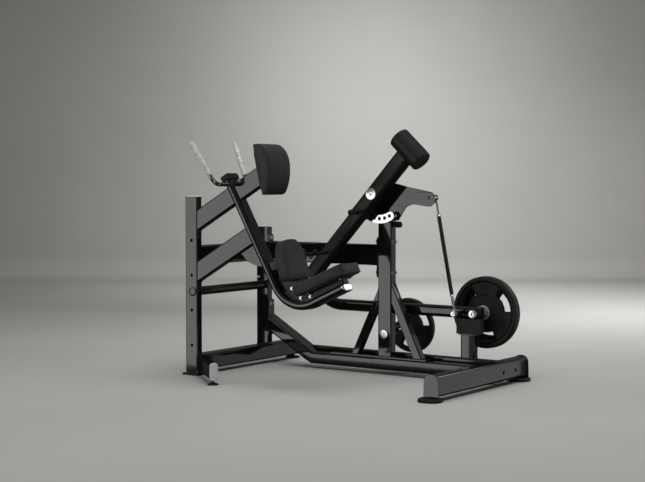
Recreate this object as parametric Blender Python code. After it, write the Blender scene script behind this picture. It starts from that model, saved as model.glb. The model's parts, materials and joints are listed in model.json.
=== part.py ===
"""Pendulum kickback machine: plate-loaded leg kickback trainer.

Metres, +Z up. +X runs along the machine towards the weight end, +Y towards the side that
carries the weight lever, and the user kneels on the -Y side, facing -X. The origin is on the
floor, at the middle of the machine's bounding box.
"""

import math

import bmesh
import bpy
from mathutils import Matrix, Vector
from mathutils.geometry import tessellate_polygon

# ---------------------------------------------------------------- driving dimensions
GAP = 0.0003  # air kept between two pieces that touch

# The layout is laid out from a datum on the floor; this is where the origin lies in it.
ORIGIN_X = -0.00925
ORIGIN_Y = 0.03655

# frame tube sections
TUBE_LONG = 0.100
TUBE_SHORT = 0.050
WALL = 0.004
CORNER = 0.008

# planes, by their middle
USER_Y = -0.364  # user column, struts and pads
SPINE_Y = 0.378  # far column, spine beam, main column
LEVER_Y = 0.486  # weight lever

COLUMN_X = -0.932
NEAR_COLUMN_TOP = 1.150
FAR_COLUMN_TOP = 0.937
FRONT_BEAM_Z = (0.030, 0.130)
FRONT_BEAM_END_Y = 0.765

STRUT_DEPTH = 0.118
UPPER_STRUT_Z = 1.0000
UPPER_STRUT_ANGLE = math.radians(29.2)
LOWER_STRUT_Z = 0.6705
LOWER_STRUT_ANGLE = math.radians(29.5)

# J-shaped seat tube: flat oval, in the XZ plane
J_WIDTH = 0.100
J_DEPTH = 0.050
J_TOP = (-0.621, 1.252)
J_CORNER = (-0.1500, 0.4290)
J_END = (0.2636, 0.6194)
J_RADIUS = 0.22
J_Y = -0.360

# kick arm
PIVOT = (0.079, 1.170)
ARM_ANGLE_DEG = 47.1
ARM_ANGLE = math.radians(ARM_ANGLE_DEG)
ARM_Y = 0.230
SLEEVE_DEPTH = 0.105
SLEEVE_WIDTH = 0.090
SLEEVE_LOW = -0.182
SLEEVE_HIGH = 0.350
EXTENSION_LOW = -0.735
FOOT_AT = -0.526  # the foot bar, along the arm from the pivot
FOOT_Y = (-0.215, -0.070)  # the foot roller
FOOT_BAR_R = 0.0095
WEIGHT_HEAD_AT = 0.381
WEIGHT_HEAD_R = 0.069
WEIGHT_HEAD_LENGTH = 0.234
SHAFT_R = 0.0175
SECTOR_IN = 0.134
SECTOR_OUT = 0.190
SECTOR_FROM = -158.0
SECTOR_TO = -60.0
SECTOR_STEP = 14.2
GOOSE_EYE = (0.425, 1.146)
GOOSE_Y = (0.318, 0.330)

# tie rod and weight lever
ROD_LOW = (0.568, 0.418)
ROD_Y = 0.397
LEVER_PIVOT = (-0.820, 0.654)
LEVER_Z = 0.423
LEVER_BEND_X = -0.420
LEVER_END_X = 0.715
LEVER_DEPTH = 0.075
LEVER_WIDTH = 0.050
HORN = (0.672, 0.418)

# base
RAIL_NEAR_Y = 0.370
RAIL_NEAR_W = 0.070
RAIL_NEAR_Z = (0.030, 0.108)
RAIL_NEAR_BEND_X = -0.505
RAIL_FAR_Y = 0.472
RAIL_FAR_W = 0.060
RAIL_FAR_Z = (0.030, 0.136)
RAIL_FAR_BEND_X = -0.614
RAIL_SLOPE = math.radians(30.0)
REAR_BEAM_X = 0.900
REAR_BEAM_W = 0.086
REAR_BEAM_Z = (0.026, 0.150)
REAR_BEAM_Y = (-0.430, 0.652)

MAIN_X = 0.0715
MAIN_W = 0.102
MAIN_D = 0.060
MAIN_TOP = 1.030
PLATE_T = 0.010

# weight plates
PLATE_LARGE_R = 0.230
PLATE_LARGE_T = 0.060
PLATE_LARGE_Y = 0.613
PLATE_SMALL_R = 0.184
PLATE_SMALL_T = 0.038
STORE_TILT = math.radians(7.0)
STORE_Z = 0.263

# colours: linear base colour, roughness, metallic
BLACK = ((0.012, 0.012, 0.012), 0.22, 0.0)
CHROME = ((0.80, 0.80, 0.80), 0.12, 1.0)
STEEL = ((0.42, 0.42, 0.40), 0.35, 1.0)
RUBBER = ((0.018, 0.018, 0.018), 0.75, 0.0)
LEATHER = ((0.035, 0.035, 0.034), 0.60, 0.0)


# ---------------------------------------------------------------- helpers
def at(x, y, z):
    """A layout point, moved to the part's origin."""
    return Vector((x - ORIGIN_X, y - ORIGIN_Y, z))


def finish_material(name, finish):
    colour, rough, metal = finish
    material = bpy.data.materials.new(name)
    material.use_nodes = True
    shader = material.node_tree.nodes["Principled BSDF"]
    shader.inputs["Base Color"].default_value = (*colour, 1.0)
    shader.inputs["Roughness"].default_value = rough
    shader.inputs["Metallic"].default_value = metal
    material.diffuse_color = (*colour, 1.0)
    return material


def new_object(name, bm, finish):
    bmesh.ops.remove_doubles(bm, verts=bm.verts, dist=1e-6)
    bmesh.ops.recalc_face_normals(bm, faces=bm.faces)
    mesh = bpy.data.meshes.new(name)
    bm.to_mesh(mesh)
    bm.free()
    mesh.materials.append(finish_material(name, finish))
    mesh.shade_smooth()
    mesh.set_sharp_from_angle(angle=math.radians(35))
    obj = bpy.data.objects.new(name, mesh)
    bpy.context.scene.collection.objects.link(obj)
    return obj


def combine(target, other, operation="UNION"):
    """Joins other into target, or cuts it out, and removes other."""
    modifier = target.modifiers.new("combine", "BOOLEAN")
    modifier.operation = operation
    modifier.solver = "EXACT"
    modifier.object = other
    bpy.context.view_layer.update()
    graph = bpy.context.evaluated_depsgraph_get()
    mesh = bpy.data.meshes.new_from_object(target.evaluated_get(graph))
    target.modifiers.clear()
    target.data = mesh
    while len(mesh.materials) > 1:
        mesh.materials.pop()
    for polygon in mesh.polygons:
        polygon.material_index = 0
    bpy.data.objects.remove(other)
    mesh.shade_smooth()
    mesh.set_sharp_from_angle(angle=math.radians(35))
    return target


def rect_profile(wide, tall, radius=CORNER, steps=3):
    """Rounded rectangle as (a, b) points, a along its width."""
    points = []
    for sx, sy, start in ((1, 1, 0), (-1, 1, 90), (-1, -1, 180), (1, -1, 270)):
        for i in range(steps + 1):
            angle = math.radians(start + 90 * i / steps)
            points.append(
                (
                    sx * (wide / 2 - radius) + radius * math.cos(angle),
                    sy * (tall / 2 - radius) + radius * math.sin(angle),
                )
            )
    return points


def circle_profile(radius, count=24):
    return [(radius * math.cos(2 * math.pi * i / count), radius * math.sin(2 * math.pi * i / count)) for i in range(count)]


def filleted(points, radii, steps=8):
    """A polyline whose inner corners are rounded to the given radii; a radius of 0 stays a mitre."""
    result = [points[0]]
    for i in range(1, len(points) - 1):
        radius = radii[i - 1]
        a = (points[i - 1] - points[i]).normalized()
        b = (points[i + 1] - points[i]).normalized()
        if radius <= 0:
            result.append(points[i])
            continue
        half = a.angle(b) / 2
        reach = radius / math.tan(half)
        centre = points[i] + (a + b).normalized() * (radius / math.sin(half))
        first = points[i] + a * reach - centre
        last = points[i] + b * reach - centre
        turn = first.angle(last)
        axis = first.cross(last).normalized()
        for k in range(steps + 1):
            result.append(centre + Matrix.Rotation(turn * k / steps, 3, axis) @ first)
    result.append(points[-1])
    return result


def sweep(name, path, profile, binormal, finish, wall=0.0, start=None, end=None, blind_end=False):
    """Profile carried along a path that lies in one plane; binormal is that plane's normal.

    The profile's a runs along binormal. start and end are optional cutting planes (point, normal).
    wall makes a hollow tube, open at both ends, or closed at its last end with blind_end.
    """
    binormal = Vector(binormal).normalized()
    bm = bmesh.new()
    inner_profile = None
    if wall > 0:
        a_half = max(p[0] for p in profile)
        b_half = max(p[1] for p in profile)
        inner_profile = [(p[0] * (a_half - wall) / a_half, p[1] * (b_half - wall) / b_half) for p in profile]

    def loops(points, shift_last=0.0):
        rings = []
        last = len(path) - 1
        for i, point in enumerate(path):
            before = (path[i] - path[i - 1]).normalized() if i else None
            after = (path[i + 1] - path[i]).normalized() if i < last else None
            tangent = ((before or after) + (after or before)).normalized()
            normal = binormal.cross(tangent).normalized()
            stretch = 1.0
            if before is not None and after is not None:
                stretch = 1.0 / max(0.2, tangent.dot(after))
            ring = []
            for a, b in points:
                place = point + binormal * a + normal * (b * stretch)
                plane = start if i == 0 else end if i == last else None
                if plane is not None:
                    place = place + tangent * ((Vector(plane[0]) - place).dot(Vector(plane[1])) / tangent.dot(Vector(plane[1])))
                if i == last and shift_last:
                    place = place - tangent * shift_last
                ring.append(bm.verts.new(place))
            rings.append(ring)
        return rings

    outer = loops(profile)
    count = len(profile)

    def skin(rings):
        for first, second in zip(rings, rings[1:]):
            for k in range(count):
                bm.faces.new((first[k], first[(k + 1) % count], second[(k + 1) % count], second[k]))

    skin(outer)
    if inner_profile is None:
        bm.faces.new(outer[0])
        bm.faces.new(outer[-1])
    else:
        inner = loops(inner_profile, wall if blind_end else 0.0)
        skin(inner)
        for k in range(count):
            bm.faces.new((outer[0][k], outer[0][(k + 1) % count], inner[0][(k + 1) % count], inner[0][k]))
        if blind_end:
            bm.faces.new(outer[-1])
            bm.faces.new(inner[-1])
        else:
            for k in range(count):
                bm.faces.new((outer[-1][k], outer[-1][(k + 1) % count], inner[-1][(k + 1) % count], inner[-1][k]))
    return new_object(name, bm, finish)


def straight(name, a, b, profile, binormal, finish, **more):
    return sweep(name, [a, b], profile, binormal, finish, **more)


def slab(name, outline, origin, u_axis, v_axis, thickness, finish, holes=(), hole_sides=12):
    """A flat plate: outline in (u, v), extruded by thickness along u x v, with round holes."""
    u_axis = Vector(u_axis).normalized()
    v_axis = Vector(v_axis).normalized()
    w_axis = u_axis.cross(v_axis).normalized()
    rings = [list(outline)]
    for cx, cy, radius in holes:
        rings.append(
            [
                (cx + radius * math.cos(2 * math.pi * i / hole_sides), cy + radius * math.sin(2 * math.pi * i / hole_sides))
                for i in range(hole_sides)
            ]
        )
    triangles = tessellate_polygon([[Vector((p[0], p[1], 0)) for p in ring] for ring in rings])
    bm = bmesh.new()
    flat = [p for ring in rings for p in ring]
    low = [bm.verts.new(origin + u_axis * p[0] + v_axis * p[1]) for p in flat]
    high = [bm.verts.new(origin + u_axis * p[0] + v_axis * p[1] + w_axis * thickness) for p in flat]
    for a, b, c in triangles:
        bm.faces.new((low[a], low[b], low[c]))
        bm.faces.new((high[c], high[b], high[a]))
    offset = 0
    for ring in rings:
        size = len(ring)
        for k in range(size):
            i, j = offset + k, offset + (k + 1) % size
            bm.faces.new((low[i], low[j], high[j], high[i]))
        offset += size
    return new_object(name, bm, finish)


def turned(name, profile, origin, axis, finish, count=32):
    """A solid of revolution. profile is (radius, distance along axis), from one end to the other.

    A profile that starts and ends at radius 0 is solid; otherwise it is a closed ring section.
    """
    axis = Vector(axis).normalized()
    side = axis.orthogonal().normalized()
    other = axis.cross(side)
    bm = bmesh.new()
    rings = []
    for radius, along in profile:
        centre = origin + axis * along
        if radius <= 1e-9:
            rings.append([bm.verts.new(centre)])
        else:
            rings.append(
                [
                    bm.verts.new(
                        centre
                        + side * (radius * math.cos(2 * math.pi * i / count))
                        + other * (radius * math.sin(2 * math.pi * i / count))
                    )
                    for i in range(count)
                ]
            )
    pairs = list(zip(rings, rings[1:]))
    if profile[0][0] > 1e-9:
        pairs.append((rings[-1], rings[0]))
    for first, second in pairs:
        for k in range(count):
            m = (k + 1) % count
            if len(first) == 1 and len(second) == 1:
                continue
            if len(first) == 1:
                bm.faces.new((first[0], second[m], second[k]))
            elif len(second) == 1:
                bm.faces.new((first[k], first[m], second[0]))
            else:
                bm.faces.new((first[k], first[m], second[m], second[k]))
    return new_object(name, bm, finish)


def rod(radius, origin, axis, length, count=24):
    """A plain cylinder, used to join to or cut from another piece."""
    return turned("tool", [(0, 0), (radius, 0), (radius, length), (0, length)], origin, axis, STEEL, count)


def block(name, low, high, finish, radius=0.0):
    """An upright box between two layout corners, with its vertical edges rounded."""
    wide, deep, tall = (high[i] - low[i] for i in range(3))
    outline = (
        rect_profile(wide, deep, radius, 2)
        if radius
        else [(-wide / 2, -deep / 2), (wide / 2, -deep / 2), (wide / 2, deep / 2), (-wide / 2, deep / 2)]
    )
    centre = at((low[0] + high[0]) / 2, (low[1] + high[1]) / 2, low[2])
    return slab(name, outline, centre, (1, 0, 0), (0, 1, 0), tall, finish)


def xz_slab(name, outline, y_low, y_high, finish, holes=(), hole_sides=12):
    """A plate whose outline is in layout (X, Z), between two Y planes."""
    origin = at(0, y_high, 0)
    return slab(name, outline, origin, (1, 0, 0), (0, 0, 1), y_high - y_low, finish, holes, hole_sides)


def rounded_outline(corners, radii, steps=5):
    """A closed outline whose corners are rounded."""
    points = []
    count = len(corners)
    for i in range(count):
        here = Vector(corners[i]).to_2d()
        before = Vector(corners[i - 1]).to_2d()
        after = Vector(corners[(i + 1) % count]).to_2d()
        radius = radii[i]
        if radius <= 0:
            points.append((here.x, here.y))
            continue
        a = (before - here).normalized()
        b = (after - here).normalized()
        half = math.acos(max(-1, min(1, a.dot(b)))) / 2
        reach = radius / math.tan(half)
        centre = here + (a + b).normalized() * (radius / math.sin(half))
        p = here + a * reach - centre
        q = here + b * reach - centre
        begin = math.atan2(p.y, p.x)
        turn = math.atan2(q.y, q.x) - begin
        while turn > math.pi:
            turn -= 2 * math.pi
        while turn < -math.pi:
            turn += 2 * math.pi
        for k in range(steps + 1):
            angle = begin + turn * k / steps
            points.append((centre.x + radius * math.cos(angle), centre.y + radius * math.sin(angle)))
    return points


def axis_empty(name, place):
    empty = bpy.data.objects.new(name, None)
    empty.empty_display_size = 0.05
    empty.location = place
    bpy.context.scene.collection.objects.link(empty)
    return empty


def hang(empty, *objects):
    for obj in objects:
        obj.parent = empty
        obj.matrix_parent_inverse = Matrix.Translation(empty.location).inverted()


# ---------------------------------------------------------------- start from an empty scene
for leftover in list(bpy.data.objects):
    bpy.data.objects.remove(leftover)

Y_AXIS = (0, 1, 0)
X_AXIS = (1, 0, 0)
Z_AXIS = (0, 0, 1)
frame_rect = rect_profile(TUBE_LONG, TUBE_SHORT)

# ---------------------------------------------------------------- user-side column
near_column = straight(
    "near_column",
    at(COLUMN_X, USER_Y, 0.006),
    at(COLUMN_X, USER_Y, NEAR_COLUMN_TOP - GAP),
    frame_rect,
    X_AXIS,
    BLACK,
    wall=WALL,
)
for height in (0.870, 0.645, 0.420, 0.194):
    combine(near_column, rod(0.0098, at(COLUMN_X + 0.004, USER_Y - 0.035, height), Y_AXIS, 0.025, 12), "DIFFERENCE")
near_column_cap = slab(
    "near_column_cap",
    rect_profile(TUBE_LONG, TUBE_SHORT),
    at(COLUMN_X, USER_Y, NEAR_COLUMN_TOP),
    X_AXIS,
    Y_AXIS,
    0.006,
    STEEL,
)
combine(near_column, block("tool", (-1.000, -0.404, 0.0), (-0.866, -0.324, 0.012), BLACK, 0.006))

# ---------------------------------------------------------------- front cross beam and far column
front_beam = straight(
    "front_beam",
    at(COLUMN_X, USER_Y + TUBE_SHORT / 2 + GAP, sum(FRONT_BEAM_Z) / 2),
    at(COLUMN_X, FRONT_BEAM_END_Y, sum(FRONT_BEAM_Z) / 2),
    rect_profile(TUBE_LONG, FRONT_BEAM_Z[1] - FRONT_BEAM_Z[0], 0.012),
    X_AXIS,
    BLACK,
    wall=WALL,
    blind_end=True,
)
front_beam_foot = turned(
    "front_beam_foot",
    [(0, 0), (0.048, 0), (0.050, 0.004), (0.046, 0.013), (0.014, 0.017), (0.014, FRONT_BEAM_Z[0] - GAP), (0, FRONT_BEAM_Z[0] - GAP)],
    at(COLUMN_X, 0.700, 0),
    Z_AXIS,
    RUBBER,
    24,
)
far_column = straight(
    "far_column",
    at(COLUMN_X, SPINE_Y, FRONT_BEAM_Z[1] + GAP),
    at(COLUMN_X, SPINE_Y, FAR_COLUMN_TOP),
    frame_rect,
    X_AXIS,
    BLACK,
    wall=WALL,
    blind_end=True,
)
cross_start = USER_Y + TUBE_SHORT / 2 + GAP
cross_end = SPINE_Y - TUBE_SHORT / 2 - GAP
upper_cross_beam = straight(
    "upper_cross_beam",
    at(COLUMN_X, cross_start, 0.7725),
    at(COLUMN_X, cross_end, 0.7725),
    rect_profile(0.060, 0.125),
    X_AXIS,
    BLACK,
    wall=WALL,
)
mid_cross_tube = straight(
    "mid_cross_tube",
    at(COLUMN_X, cross_start, 0.540),
    at(COLUMN_X, cross_end, 0.540),
    circle_profile(0.0285, 20),
    X_AXIS,
    BLACK,
    wall=WALL,
)

# ---------------------------------------------------------------- J-shaped seat tube
j_dir = Vector((J_CORNER[0] - J_TOP[0], 0, J_CORNER[1] - J_TOP[1])).normalized()
j_out = Vector((j_dir.z, 0, -j_dir.x))  # away from the pads
if j_out.x > 0:
    j_out = -j_out
j_path = filleted(
    [at(J_TOP[0], J_Y, J_TOP[1]), at(J_CORNER[0], J_Y, J_CORNER[1]), at(J_END[0], J_Y, J_END[1])], [J_RADIUS], 12
)
j_tube = sweep("j_tube", j_path, rect_profile(J_WIDTH, J_DEPTH, 0.022, 4), Y_AXIS, BLACK, wall=WALL)
GRIP_AT = 0.024  # the handlebar crosses the tube this far below its top
handle_mid = at(J_TOP[0], J_Y, J_TOP[1]) + j_dir * GRIP_AT
combine(j_tube, rod(0.0138, handle_mid - Vector((0, 0.08, 0)), Y_AXIS, 0.16, 20), "DIFFERENCE")
cap_side = -j_out
j_tube_top_cap = slab(
    "j_tube_top_cap",
    rect_profile(0.112, 0.066, 0.012, 2),
    at(J_TOP[0], J_Y, J_TOP[1]) - j_dir * GAP,
    Y_AXIS,
    cap_side,
    -0.040 if Vector(Y_AXIS).cross(cap_side).dot(j_dir) > 0 else 0.040,
    RUBBER,
)
j_low_dir = Vector((J_END[0] - J_CORNER[0], 0, J_END[1] - J_CORNER[1])).normalized()
j_tube_end_cap = sweep(
    "j_tube_end_cap",
    [at(J_END[0], J_Y, J_END[1]) + j_low_dir * t for t in (GAP, 0.012)],
    rect_profile(J_WIDTH, J_DEPTH, 0.022, 4),
    Y_AXIS,
    CHROME,
)

# ---------------------------------------------------------------- struts from the column to the seat tube
def strut(name, z_start, angle, finish=BLACK, beyond=None):
    """A strut in the user plane; beyond is the far cutting plane of the piece that goes on past the seat tube."""
    direction = Vector((math.cos(angle), 0, math.sin(angle)))
    base = at(COLUMN_X + TUBE_LONG / 2, USER_Y, z_start)
    outer_face = (at(J_TOP[0], USER_Y, J_TOP[1]) + j_out * (J_DEPTH / 2 + GAP), j_out)
    inner_face = (at(J_TOP[0], USER_Y, J_TOP[1]) - j_out * (J_DEPTH / 2 + GAP), j_out)
    section = rect_profile(TUBE_SHORT, STRUT_DEPTH, 0.010)
    if beyond is None:
        return straight(
            name,
            base,
            base + direction * 0.3,
            section,
            Y_AXIS,
            finish,
            wall=WALL,
            start=(at(COLUMN_X + TUBE_LONG / 2 + GAP, USER_Y, 0), X_AXIS),
            end=outer_face,
        )
    return straight(name, base, base + direction * 0.6, section, Y_AXIS, finish, wall=WALL, start=inner_face, end=beyond)


upper_strut = strut("upper_strut", UPPER_STRUT_Z, UPPER_STRUT_ANGLE)
lower_strut = strut("lower_strut", LOWER_STRUT_Z, LOWER_STRUT_ANGLE)

# chest pad: its back is a plane that leans with its top towards the user column
CHEST_LEAN = math.radians(13.3)
CHEST_BACK = (-0.3285, 1.320)
CHEST_Y = -0.362
CHEST_WIDTH = 0.216
chest_up = Vector((-math.sin(CHEST_LEAN), 0, math.cos(CHEST_LEAN)))
chest_out = Vector((math.cos(CHEST_LEAN), 0, math.sin(CHEST_LEAN)))
BOARD_T = 0.012
board_back = at(CHEST_BACK[0], USER_Y, CHEST_BACK[1]) - chest_out * (BOARD_T + 2 * GAP)
chest_pad_post = strut("chest_pad_post", UPPER_STRUT_Z, UPPER_STRUT_ANGLE, BLACK, (board_back, chest_out))
chest_board = slab(
    "chest_pad_board",
    rect_profile(0.190, 0.250, 0.02, 3),
    at(CHEST_BACK[0], CHEST_Y, CHEST_BACK[1]) - chest_out * (BOARD_T + GAP),
    Y_AXIS,
    chest_up,
    BOARD_T,
    BLACK,
)
CHEST_HIGH = 0.164
CHEST_LOW = -0.160
CHEST_PEAK = 0.030
CHEST_T = 0.107


def chest_profile():
    """Side view of the pad as (height along its back, thickness): round at the top, thin at the foot."""
    points = [(CHEST_LOW, 0.0), (CHEST_HIGH, 0.0)]
    steps = 14
    for i in range(steps + 1):
        height = CHEST_HIGH + (CHEST_LOW - CHEST_HIGH) * i / steps
        if height > CHEST_PEAK:
            across = 1 - ((height - CHEST_PEAK) / 0.138) ** 2.2
            points.append((height, CHEST_T * across**0.5))
        else:
            across = 1 - ((CHEST_PEAK - height) / 0.205) ** 1.8
            points.append((height, CHEST_T * across**0.75))
    return points


chest_pad = slab(
    "chest_pad",
    [(p[1], p[0]) for p in chest_profile()],
    at(CHEST_BACK[0], CHEST_Y + CHEST_WIDTH / 2, CHEST_BACK[1]),
    chest_out,
    chest_up,
    CHEST_WIDTH,
    LEATHER,
)
gusset = xz_slab(
    "tool",
    [(-0.560, 0.802), (-0.528, 0.790), (-0.500, 0.762), (-0.475, 0.745), (-0.440, 0.731), (-0.404, 0.723), (-0.3495, 0.7205), (-0.440, 0.876)],
    USER_Y - 0.004,
    USER_Y + 0.004,
    BLACK,
)
combine(
    gusset,
    straight(
        "tool",
        at(J_TOP[0], USER_Y, J_TOP[1]) + j_out * (J_DEPTH / 2 + GAP - 0.1),
        at(J_TOP[0], USER_Y, J_TOP[1]) + j_out * (J_DEPTH / 2 + GAP),
        rect_profile(0.2, 2.4),
        Y_AXIS,
        BLACK,
    ),
    "DIFFERENCE",
)
combine(lower_strut, gusset)

# ---------------------------------------------------------------- handlebar
grip_rise = Vector((-0.150, 0, 0.262))
h_low_a = handle_mid + Vector((0, -0.172, 0))
h_low_b = handle_mid + Vector((0, 0.150, 0))
h_tip_a = h_low_a + grip_rise + Vector((0, -0.056, 0))
h_tip_b = h_low_b + grip_rise + Vector((0, 0.056, 0))
handle_normal = Vector(Y_AXIS).cross(grip_rise).normalized()
handlebar = sweep(
    "handlebar",
    filleted([h_tip_a, h_low_a, h_low_b, h_tip_b], [0.055, 0.055], 6),
    circle_profile(0.0135, 14),
    handle_normal,
    CHROME,
)

# ---------------------------------------------------------------- thigh pad and its bracket
THIGH_LEAN = math.radians(16.8)
THIGH_FACE = (-0.112, 0.776)
THIGH_T = 0.072
THIGH_W = 0.240
THIGH_LOW, THIGH_HIGH = -0.126, 0.134
thigh_up = Vector((-math.sin(THIGH_LEAN), 0, math.cos(THIGH_LEAN)))
thigh_out = Vector((math.cos(THIGH_LEAN), 0, math.sin(THIGH_LEAN)))
half = THIGH_W / 2
thigh_outline = rounded_outline(
    [(-half, THIGH_LOW), (half, THIGH_LOW), (half * 0.96, 0.045), (half * 0.55, THIGH_HIGH), (-half * 0.55, THIGH_HIGH), (-half * 0.96, 0.045)],
    [0.022, 0.022, 0.09, 0.07, 0.07, 0.09],
    4,
)
thigh_back = at(THIGH_FACE[0], J_Y, THIGH_FACE[1]) - thigh_out * THIGH_T
thigh_pad = slab("thigh_pad", thigh_outline, thigh_back, Y_AXIS, thigh_up, THIGH_T, LEATHER)
thigh_bracket = slab(
    "thigh_pad_bracket",
    rect_profile(0.160, 0.170, 0.02, 3),
    thigh_back - thigh_out * (0.010 + GAP),
    Y_AXIS,
    thigh_up,
    0.010,
    BLACK,
)
thigh_post = straight(
    "tool",
    thigh_back - thigh_out * 0.2,
    thigh_back - thigh_out * 0.005,
    rect_profile(0.060, 0.060),
    Y_AXIS,
    BLACK,
    start=(at(J_TOP[0], J_Y, J_TOP[1]) - j_out * (J_DEPTH / 2 + GAP), j_out),
)
combine(thigh_bracket, thigh_post)

# ---------------------------------------------------------------- knee pad and its bracket
KNEE_ANGLE = math.radians(23.0)
KNEE_A = (-0.070, 0.585)
KNEE_LENGTH = 0.402
KNEE_T = 0.066
KNEE_Y = (-0.465, -0.255)
knee_dir = Vector((math.cos(KNEE_ANGLE), 0, math.sin(KNEE_ANGLE)))
knee_up = Vector((-math.sin(KNEE_ANGLE), 0, math.cos(KNEE_ANGLE)))
knee_mid = at(KNEE_A[0], sum(KNEE_Y) / 2, KNEE_A[1]) + knee_dir * (KNEE_LENGTH / 2)
knee_pad = slab(
    "knee_pad",
    rect_profile(KNEE_LENGTH, KNEE_Y[1] - KNEE_Y[0], 0.028, 4),
    knee_mid - knee_up * (KNEE_T / 2),
    knee_dir,
    Y_AXIS,
    -KNEE_T if knee_dir.cross(Vector(Y_AXIS)).dot(knee_up) < 0 else KNEE_T,
    LEATHER,
)
knee_bracket = slab(
    "knee_pad_bracket",
    rect_profile(0.300, 0.150, 0.015, 2),
    knee_mid - knee_up * (KNEE_T / 2 + 0.008 + GAP),
    knee_dir,
    Y_AXIS,
    0.008,
    BLACK,
)
j_low_out = Vector((-j_low_dir.z, 0, j_low_dir.x))
for reach, size in ((0.012, 0.236),):
    foot = knee_mid + knee_dir * reach - knee_up * (KNEE_T / 2 + 0.004)
    foot.y = J_Y - ORIGIN_Y
    leg = straight(
        "tool",
        foot,
        foot - knee_up * 0.2,
        rect_profile(0.060, size),
        Y_AXIS,
        BLACK,
        end=(at(J_END[0], J_Y, J_END[1]) + j_low_out * (J_DEPTH / 2 + GAP), j_low_out),
    )
    combine(knee_bracket, leg)

# ---------------------------------------------------------------- outrigger leg
LEG_ANGLE = math.radians(-39.3)
LEG_LENGTH = 0.470
LEG_Z = 0.084
leg_dir = Vector((math.cos(LEG_ANGLE), math.sin(LEG_ANGLE), 0))
leg_side = Vector((-leg_dir.y, leg_dir.x, 0))
leg_base = at(COLUMN_X + TUBE_LONG / 2, USER_Y, LEG_Z)
leg_end = leg_base + leg_dir * LEG_LENGTH
outrigger_leg = straight(
    "outrigger_leg",
    leg_base,
    leg_end,
    rect_profile(0.050, 0.108, 0.020, 4),
    leg_side,
    BLACK,
    wall=WALL,
    start=(at(COLUMN_X + TUBE_LONG / 2 + GAP, USER_Y, 0), X_AXIS),
)
outrigger_cap = sweep(
    "outrigger_cap",
    [leg_end + leg_dir * t for t in (GAP, 0.016)],
    rect_profile(0.052, 0.110, 0.021, 4),
    leg_side,
    CHROME,
)
levelling_foot = turned(
    "levelling_foot",
    [(0, 0), (0.033, 0), (0.034, 0.003), (0.032, 0.010), (0.012, 0.015), (0.008, 0.017), (0.008, 0.0297), (0, 0.0297)],
    at(-0.535, -0.648, 0),
    Z_AXIS,
    RUBBER,
    24,
)

# ---------------------------------------------------------------- spine beam with its end flanges
flange_x0 = COLUMN_X + TUBE_LONG / 2 + GAP
flange_x1 = MAIN_X - MAIN_W / 2 - GAP
spine_beam = straight(
    "spine_beam",
    at(flange_x0 + PLATE_T / 2, SPINE_Y, 0.7725),
    at(flange_x1 - PLATE_T / 2, SPINE_Y, 0.7725),
    rect_profile(TUBE_SHORT, 0.135),
    Y_AXIS,
    BLACK,
)
for low_x, far_half in ((flange_x0, 0.0245), (flange_x1 - PLATE_T, 0.030)):
    combine(spine_beam, block("tool", (low_x, SPINE_Y - 0.030, 0.628), (low_x + PLATE_T, SPINE_Y + far_half, 0.886), BLACK))
combine(
    spine_beam,
    straight(
        "tool",
        at(flange_x0 - 0.02, SPINE_Y, 0.7725),
        at(flange_x1 + 0.02, SPINE_Y, 0.7725),
        rect_profile(TUBE_SHORT - 2 * WALL, 0.135 - 2 * WALL, 0.006, 2),
        Y_AXIS,
        BLACK,
    ),
    "DIFFERENCE",
)

# ---------------------------------------------------------------- base rails
def rail(name, y, wide, z_range, bend_x, left_x):
    middle = sum(z_range) / 2
    rise = (bend_x - left_x) * math.tan(RAIL_SLOPE)
    right_x = REAR_BEAM_X - REAR_BEAM_W / 2 - GAP
    return sweep(
        name,
        [at(left_x, y, middle + rise), at(bend_x, y, middle), at(right_x, y, middle)],
        rect_profile(wide, z_range[1] - z_range[0], 0.012),
        Y_AXIS,
        BLACK,
        wall=WALL,
        start=(at(left_x, y, 0), X_AXIS),
    )


base_rail_near = rail(
    "base_rail_near", RAIL_NEAR_Y, RAIL_NEAR_W, RAIL_NEAR_Z, RAIL_NEAR_BEND_X, flange_x0 + PLATE_T + GAP
)
base_rail_far = rail("base_rail_far", RAIL_FAR_Y, RAIL_FAR_W, RAIL_FAR_Z, RAIL_FAR_BEND_X, -0.972)
rail_flange = block("rail_flange", (flange_x0, 0.345, 0.200), (flange_x0 + PLATE_T, 0.411, 0.440), BLACK)
combine(
    base_rail_far,
    block("tool", (-0.965, SPINE_Y + TUBE_SHORT / 2 + GAP, 0.250), (-0.895, RAIL_FAR_Y - RAIL_FAR_W / 2 + 0.002, 0.300), BLACK),
)

# ---------------------------------------------------------------- rear cross beam, its end plates and feet
rear_mid = sum(REAR_BEAM_Z) / 2
rear_beam = straight(
    "rear_beam",
    at(REAR_BEAM_X, REAR_BEAM_Y[0], rear_mid),
    at(REAR_BEAM_X, REAR_BEAM_Y[1], rear_mid),
    rect_profile(REAR_BEAM_W, REAR_BEAM_Z[1] - REAR_BEAM_Z[0], 0.020, 4),
    X_AXIS,
    BLACK,
    wall=WALL,
)
for hole_y in (0.347, 0.502):
    combine(rear_beam, rod(0.0112, at(REAR_BEAM_X + 0.03, hole_y, 0.082), X_AXIS, 0.03, 12), "DIFFERENCE")
end_outline = rounded_outline(
    [(-0.051, 0.0205), (0.051, 0.0205), (0.048, 0.158), (-0.048, 0.158)], [0.004, 0.004, 0.044, 0.044], 6
)
end_outline = [(x + REAR_BEAM_X, z) for x, z in end_outline]
rear_beam_plate_near = xz_slab(
    "rear_beam_plate_near", end_outline, REAR_BEAM_Y[0] - 0.008 - GAP, REAR_BEAM_Y[0] - GAP, BLACK
)
rear_beam_plate_far = xz_slab("rear_beam_plate_far", end_outline, REAR_BEAM_Y[1] + GAP, REAR_BEAM_Y[1] + 0.008 + GAP, BLACK)
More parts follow.
